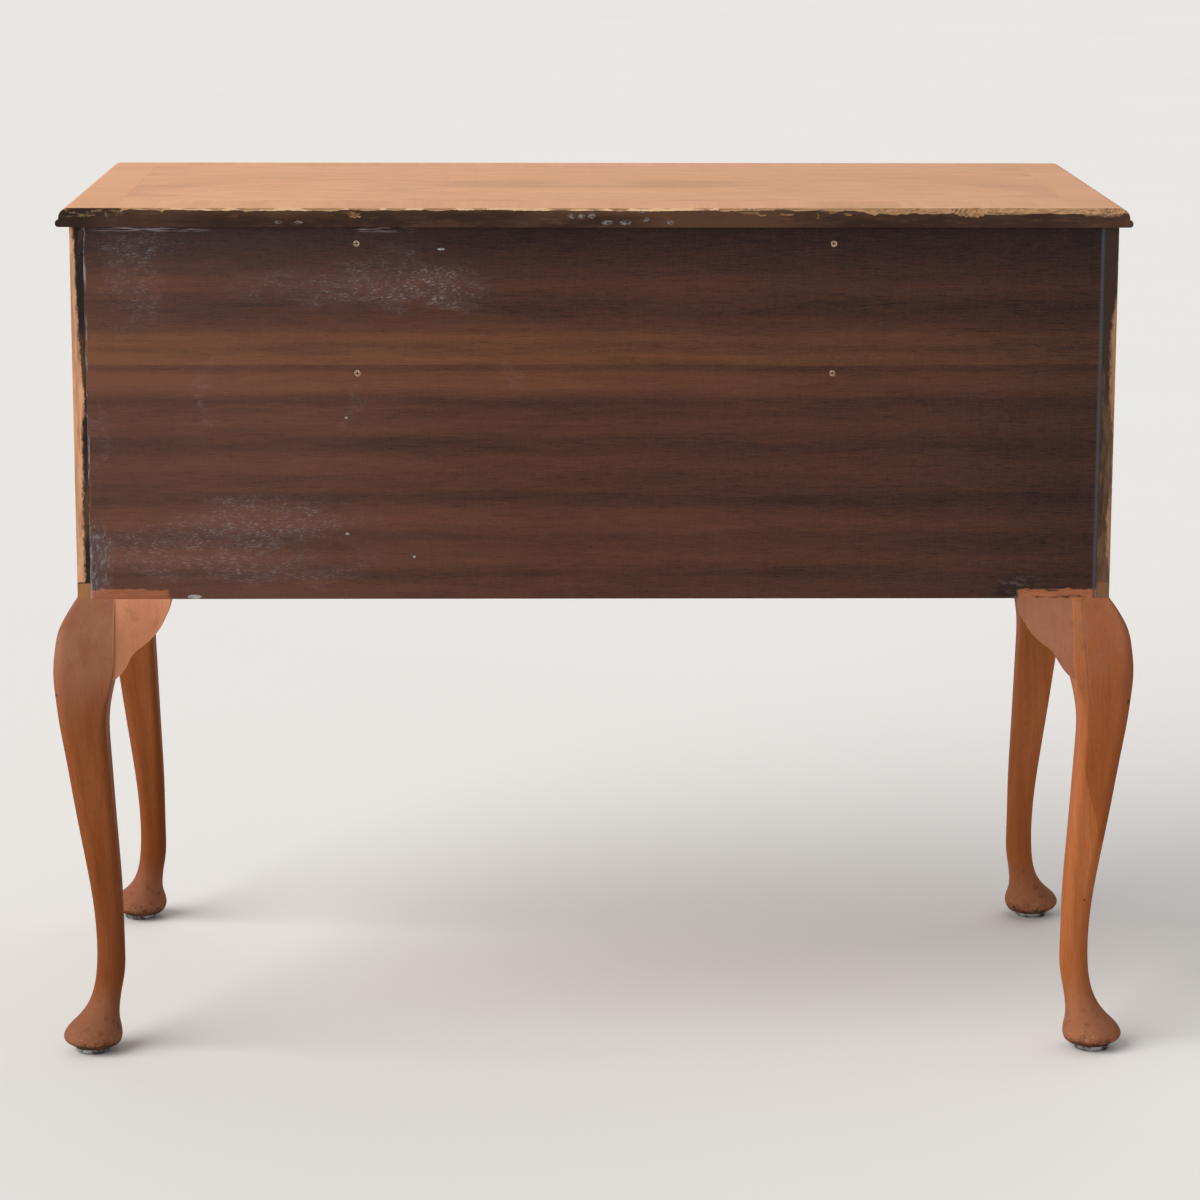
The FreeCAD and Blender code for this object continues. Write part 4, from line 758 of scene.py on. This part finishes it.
# A pale band on the arris of the rear right leg beside its ear, painted light over the shade of the seam
# there: across, its half width from nothing to full, and its lower end.
SEAM_LIGHT_ACROSS = 0.4362
SEAM_LIGHT_WIDTH = (0.0012, 0.0006)
SEAM_LIGHT_UP = (0.342, 0.350)


def leg_finish(name, tones, bloom, painted_light_off_sides=0.0):
    """Polished walnut with the grain up the leg, bloomed over the knee and scuffed round the foot.

    The share given as painted_light_off_sides brings the wood that isn't at the back nearer to the tone of
    the knee, so that only the back keeps the paler tone that is painted light against its shade.
    """
    leg_low, leg_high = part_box("rear_right_leg")
    material, place = new_finish(name)
    leaning = place.node("Mapping", {}, {"Vector": place, "Rotation": LEG_LEAN})
    x, y, z = axes(place)
    wood, pores = grain(leaning, LEG_LIE, tones, 46.0, 320.0, 0.22, 0.16)
    shade = cloud(leaning, LEG_LIE, 24.0, 2.0)
    wood = mix(ease(shade, 0.40, 0.70) * 0.18 + ease(z, *LOWER_LEG) * 0.27, wood, tones[0])
    line_x = GROWTH_ACROSS[0]
    for run, start, end in zip(GROWTH_RUN, GROWTH_ACROSS, GROWTH_ACROSS[1:]):
        line_x = ease(z, *run) * (end - start) + line_x
    behind = ease(y, *REAR_LEGS)
    past_line = line_x - x
    line = ease(past_line.size(), *GROWTH_WIDTH)
    line_foot = GROWTH_RUN[1][1]
    on_left = ease(x, -0.2, -0.3) * behind * ease(z, line_foot - GROWTH_FADE, line_foot)
    # Past the growth line the leg is darker: painted shade on the face turned from the light.
    wood = mix((line * 0.35 + ease(past_line, *PAINTED_SHADE_PAST_GROWTH) * 0.45) * on_left, wood, tones[0])
    # Only the backs of the ears keep their painted light: elsewhere the wood goes to the tone of the knee.
    wood = mix(ease(y, *EAR_SIDES) * painted_light_off_sides, wood, KNEE_BLOOM)
    arris = ease((x - SEAM_LIGHT_ACROSS).size(), *SEAM_LIGHT_WIDTH) * behind
    arris = arris * ease(z, *SEAM_LIGHT_UP)
    haze = ease(z, leg_high.z - BLOOM_DOWN[0], leg_high.z - BLOOM_DOWN[1])
    mottle = cloud(place, (1.0, 1.0, 0.6), 22.0, 5.0, 0.6)
    colour = mix(haze * (0.30 + ease(mottle, 0.35, 0.65) * 0.55) * bloom, wood, KNEE_BLOOM)
    smudge = ease(cloud(place, (1.0, 1.0, 0.5), 60.0, 5.0, 0.65), 0.54, 0.72) * haze
    colour = mix(smudge * 0.28, colour, DIRT_AND_RIM_SHADE)
    # Painted light along the seam beside the right ear, over its shade.
    colour = mix(arris * 0.85, colour, SEAM_PAINTED_LIGHT)
    foot = ease(z, leg_low.z + FOOT_UP[0], leg_low.z + FOOT_UP[1])
    colour = mix(foot * 0.70, colour, FOOT_RED)
    dirt = cloud(place, EVEN, 150.0, 6.0, 0.7)
    rim = ease(z + (dirt - 0.5) * RIM_RAGGED, leg_low.z + RIM_UP[0], leg_low.z + RIM_UP[1])
    rub = ease(cloud(place, (1.0, 1.0, 1.6), 190.0, 6.0, 0.7), 0.54, 0.66)
    rub = rub * ease(z, leg_low.z + RUB_UP[0], leg_low.z + RUB_UP[1])
    stained = ease(cloud(place, (1.0, 1.0, 0.8), 110.0, 6.0, 0.7), 0.54, 0.68) * foot
    colour = mix(stained * 0.50, colour, DIRT_AND_RIM_SHADE)
    colour = mix(rub * 0.50, colour, FOOT_RUB)
    # Dirt and painted shade round the bottom of the foot.
    colour = mix(rim * 0.80, colour, DIRT_AND_RIM_SHADE)
    nicks = []
    for across, deep, up, half_width, half_height in NICKS:
        on_face = spot(x, z, across, up, half_width, half_height)
        nicks.append(on_face * spot(y, z, deep, up, NICK_REACH, NICK_REACH))
    nick = total(nicks)
    colour = mix(nick * 0.75, colour, DIRT_AND_RIM_SHADE)
    rough = 0.44 + pores * 0.12 + mottle * 0.12 + rim * 0.2
    seal(place, colour, rough, 1 - pores * 0.5 - nick * 2 - rim * dirt, 0.00020, 0.015)
    return material


for side, piece, finish in (
    ("right", "leg", leg_finish("leg_walnut", LEG_TONES, 0.86)),
    ("left", "leg", leg_finish("pale_leg_walnut", PALE_LEG_TONES, 0.45)),
    ("right", "ears", leg_finish("ear_walnut", PALE_EAR_TONES_WITH_PAINTED_LIGHT, 0.30, 0.75)),
    ("left", "ears", leg_finish("dull_ear_walnut", DULL_EAR_TONES, 0.50)),
):
    dress(finish, f"rear_{side}_{piece}", f"front_{side}_{piece}")


# Foot glides: pressed steel discs with a rounded rim, nailed under each foot.
# They have gone grey and dirty in patches, and are finely scratched.
GLIDE_BRIGHT = (0.420, 0.420, 0.430, 1.0)
GLIDE_GREY = (0.090, 0.082, 0.078, 1.0)
dress(metal_finish("glide_steel", GLIDE_BRIGHT, GLIDE_GREY, 0.36, 140.0), "foot_glides")


# Front rails and stiles: the frame round the drawers, pine faced with walnut along its length.
# The upper rail sits under the top's moulding, and the stiles cover the front of the partitions.
RAIL_TONES = ((0.130, 0.042, 0.015, 1.0), (0.300, 0.108, 0.039, 1.0), (0.400, 0.160, 0.062, 1.0))


def polished_finish(name, lie, tones, rough=0.34):
    """Veneer with a wax polish over its grain."""
    material, place = new_finish(name)
    colour, pores = grain(place, lie, tones)
    smear = cloud(place, EVEN, 24.0, 4.0)
    seal(place, colour, rough + pores * 0.2 + (smear - 0.5) * 0.16, 1 - pores, 0.00016, 0.35)
    return material


rail_walnut = polished_finish("rail_walnut", LENGTHWISE, RAIL_TONES)
dress(rail_walnut, "top_front_rail", "middle_front_rail", "bottom_front_rail")
dress(polished_finish("stile_walnut", UPRIGHT, RAIL_TONES), "partition_stiles")


# Drawer fronts: figured walnut veneer in matched leaves, with a herringbone line inside a crossbanded
# border. The cock bead round each front is a thin strip of darker walnut, glued into a rebate.
FRONT_TONES = ((0.140, 0.046, 0.016, 1.0), (0.340, 0.132, 0.050, 1.0), (0.480, 0.215, 0.088, 1.0))
BORDER_TONES = ((0.130, 0.042, 0.015, 1.0), (0.290, 0.104, 0.038, 1.0), (0.380, 0.150, 0.058, 1.0))
FEATHER_DARK = (0.105, 0.036, 0.014, 1.0)
FEATHER_LIGHT = (0.420, 0.205, 0.085, 1.0)
BEAD_TONES = ((0.060, 0.022, 0.010, 1.0), (0.150, 0.055, 0.024, 1.0), (0.210, 0.082, 0.036, 1.0))
# The border and the herringbone line: their widths, the pitch of the feathers and half of each margin.
BORDER = 0.020
INLAY_WIDTH = 0.004
FEATHER_PITCH = 0.0046
INLAY_MARGIN = 0.0001
BORDER_MITRE = 0.0003
# How far the veneer's finish reaches below its face: where it starts, and where it is full.
FRONT_SKIN = (0.0012, 0.0006)


def front_finish(name, drawer_front):
    """Matched leaves about the middle of the front, set in their border."""
    low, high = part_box(drawer_front)
    middle_x = (low.x + high.x) / 2
    middle_z = (low.z + high.z) / 2
    material, place = new_finish(name)
    x, y, z = axes(place)
    side = (x - middle_x).size()
    rise = (z - middle_z).size()
    leaf = place.node("CombineXYZ", {}, {"X": side, "Y": y, "Z": z})
    swirl = (cloud(leaf, (0.8, 1.0, 1.0), 9.0, 2.0) - 0.5) * 0.16
    bent = place.node("CombineXYZ", {}, {"X": side, "Y": y, "Z": z + swirl + side * 0.35})
    figure, pores = grain(bent, (0.05, 1.0, 1.0), FRONT_TONES, 22.0, 130.0, 0.42, 0.25)
    curl = ease(cloud(leaf, (1.0, 1.0, 0.25), 46.0, 3.0), 0.42, 0.70)
    figure = mix(curl * 0.22, figure, FRONT_TONES[2])
    end_gap = (high.x - low.x) / 2 - side
    level_gap = (high.z - low.z) / 2 - rise
    inset = end_gap.math("MINIMUM", end_gap, level_gap)
    on_end = ease(end_gap - level_gap, BORDER_MITRE, -BORDER_MITRE)
    end_band = grain(place, LENGTHWISE, BORDER_TONES, 30.0, 170.0)[0]
    level_band = grain(place, UPRIGHT, BORDER_TONES, 30.0, 170.0)[0]
    border = mix(on_end, level_band, end_band)
    turn = (x + z) / FEATHER_PITCH
    back_turn = (x - z) / FEATHER_PITCH
    on_border, past_middle, on_leaf = [
        ease(inset, start - INLAY_MARGIN, start + INLAY_MARGIN)
        for start in (BORDER, BORDER + INLAY_WIDTH / 2, BORDER + INLAY_WIDTH)
    ]
    first = turn.math("FRACT", turn)
    second = back_turn.math("FRACT", back_turn)
    feather = mix(ease(first + (second - first) * past_middle, 0.45, 0.55), FEATHER_DARK, FEATHER_LIGHT)
    colour = mix(on_border, border, feather)
    colour = mix(on_leaf, colour, figure)
    face = ease(y, low.y + FRONT_SKIN[0], low.y + FRONT_SKIN[1])
    inner = grain(place, LENGTHWISE, PINE_TONES, 16.0, 110.0)[0]
    colour = mix(face, inner, colour)
    rough = 0.55 - face * 0.23 + pores * 0.2
    seal(place, colour, rough, 1 - pores * 0.8, 0.00014, 0.35)
    return material


DRAWERS = ("long_drawer", "left_drawer", "centre_drawer", "right_drawer")
for drawer in DRAWERS:
    dress(front_finish(f"{drawer}_veneer", f"{drawer}_front"), f"{drawer}_front")
bead_walnut = polished_finish("bead_walnut", (0.4, 1.0, 0.4), BEAD_TONES, 0.3)
dress(bead_walnut, *(f"{drawer}_cock_bead" for drawer in DRAWERS))


# Drawer linings: thin oak sides dovetailed into the fronts, an oak back, and a plywood bottom in grooves.
# They are bare inside and out.
OAK_TONES = ((0.230, 0.125, 0.058, 1.0), (0.450, 0.280, 0.145, 1.0), (0.560, 0.370, 0.205, 1.0))
PLY_TONES = ((0.330, 0.200, 0.105, 1.0), (0.540, 0.370, 0.210, 1.0), (0.620, 0.440, 0.265, 1.0))
dress(bare_finish("oak_sides", FORE_AND_AFT, OAK_TONES, 0.6), *(f"{drawer}_sides" for drawer in DRAWERS))
dress(bare_finish("oak_backs", LENGTHWISE, OAK_TONES, 0.6), *(f"{drawer}_back" for drawer in DRAWERS))
dress(bare_finish("ply_bottoms", LENGTHWISE, PLY_TONES, 0.62), *(f"{drawer}_bottom" for drawer in DRAWERS))


# Handles: turned brass posts through the drawer fronts, with nuts inside, and bent brass bails between them.
# The brass is bright from use, and tarnished brown in patches.
BRASS_BRIGHT = (0.780, 0.560, 0.260, 1.0)
BRASS_DULL = (0.360, 0.215, 0.085, 1.0)
handle_brass = metal_finish("handle_brass", BRASS_BRIGHT, BRASS_DULL, 0.24, 90.0)
dress(handle_brass, *(f"{drawer}_posts" for drawer in DRAWERS))
dress(handle_brass, "long_drawer_left_bail", "long_drawer_right_bail")
dress(handle_brass, *(f"{drawer}_bail" for drawer in DRAWERS[1:]))


# Studio: a plain pale floor with a far backdrop round it, under an even sky. One wide soft light comes from
# the left of the camera and a weaker one from over the front. The camera is behind the lowboy, a little
# above its top.
FLOOR_SIZE = 120.0
FLOOR_PALE = (0.880, 0.850, 0.815, 1.0)
FLOOR_SHADE = (0.855, 0.825, 0.790, 1.0)
# The backdrop: how far away it is, half its height and the number of its flats.
BACKDROP_AWAY = 58.0
BACKDROP_HEIGHT = 60.0
BACKDROP_FLATS = 160
BACKDROP_PALE = (0.815, 0.792, 0.767, 1.0)
BACKDROP_SHADE = (0.800, 0.777, 0.752, 1.0)
BLACK = (0.0, 0.0, 0.0, 1.0)
SKY = (0.96, 0.98, 1.0, 1.0)
SKY_STRENGTH = 0.35
# Lights: the way that they shine, how wide they are in degrees, and strength.
LIGHTS = {
    "window_light": ((-0.75, -0.39, -0.53), 60.0, 2.95),
    "front_light": ((0.25, 0.70, -0.67), 80.0, 0.55),
}
CAMERA_PLACE = (0.0591, 3.7708, 1.1311)
CAMERA_TURN = -0.0181
CAMERA_TILT = 0.1962
CAMERA_ROLL = 0.0025
CAMERA_LENS = 118.76

bpy.ops.object.select_all(action="DESELECT")
bpy.ops.mesh.primitive_plane_add(size=FLOOR_SIZE)
floor = bpy.context.object
floor.name = "studio_floor"
floor_finish, place = new_finish("studio_floor")
mottle = cloud(place, EVEN, 1.5, 4.0)
seal(place, mix(mottle, FLOOR_PALE, FLOOR_SHADE), 0.75 + mottle * 0.1, mottle, 0.0002, 0.1)
floor.data.materials.append(floor_finish)
floor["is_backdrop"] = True

# The backdrop is only there to be seen: it glows evenly, throws no shadow and lights nothing.
bpy.ops.object.select_all(action="DESELECT")
ring = {"vertices": BACKDROP_FLATS, "radius": BACKDROP_AWAY, "depth": 2 * BACKDROP_HEIGHT}
bpy.ops.mesh.primitive_cylinder_add(end_fill_type="NOTHING", **ring)
backdrop = bpy.context.object
backdrop.name = "studio_backdrop"
for ray in ("diffuse", "glossy", "transmission", "volume_scatter", "shadow"):
    setattr(backdrop, f"visible_{ray}", False)
backdrop_finish, place = new_finish("studio_backdrop")
mottle = cloud(place, EVEN, 0.05, 3.0)
glow = {"Base Color": BLACK, "Roughness": 1.0, "Specular IOR Level": 0.0, "Emission Strength": 1.0}
glow["Emission Color"] = mix(mottle, BACKDROP_PALE, BACKDROP_SHADE)
place.node("OutputMaterial", {}, {"Surface": place.node("BsdfPrincipled", {}, glow)})
backdrop.data.materials.append(backdrop_finish)
backdrop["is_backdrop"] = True

world = bpy.data.worlds.new("studio_sky")
bpy.context.scene.world = world
world.use_nodes = True
background = world.node_tree.nodes["Background"]
background.inputs["Color"].default_value = SKY
background.inputs["Strength"].default_value = SKY_STRENGTH
for name, (way, width, strength) in LIGHTS.items():
    lamp = bpy.data.lights.new(name, "SUN")
    lamp.angle = math.radians(width)
    lamp.energy = strength
    light = bpy.data.objects.new(name, lamp)
    bpy.context.scene.collection.objects.link(light)
    light.rotation_euler = Vector(way).to_track_quat("-Z", "Y").to_euler()

lens = bpy.data.cameras.new("camera")
lens.lens = CAMERA_LENS
camera = bpy.data.objects.new("camera", lens)
bpy.context.scene.collection.objects.link(camera)
turn = Matrix.Rotation(math.pi + CAMERA_TURN, 4, "Z")
tilt = Matrix.Rotation(math.pi / 2 - CAMERA_TILT, 4, "X")
roll = Matrix.Rotation(CAMERA_ROLL, 4, "Z")
camera.matrix_world = Matrix.Translation(CAMERA_PLACE) @ turn @ tilt @ roll
bpy.context.scene.camera = camera
bpy.context.scene.view_settings.view_transform = "Standard"

low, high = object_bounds()
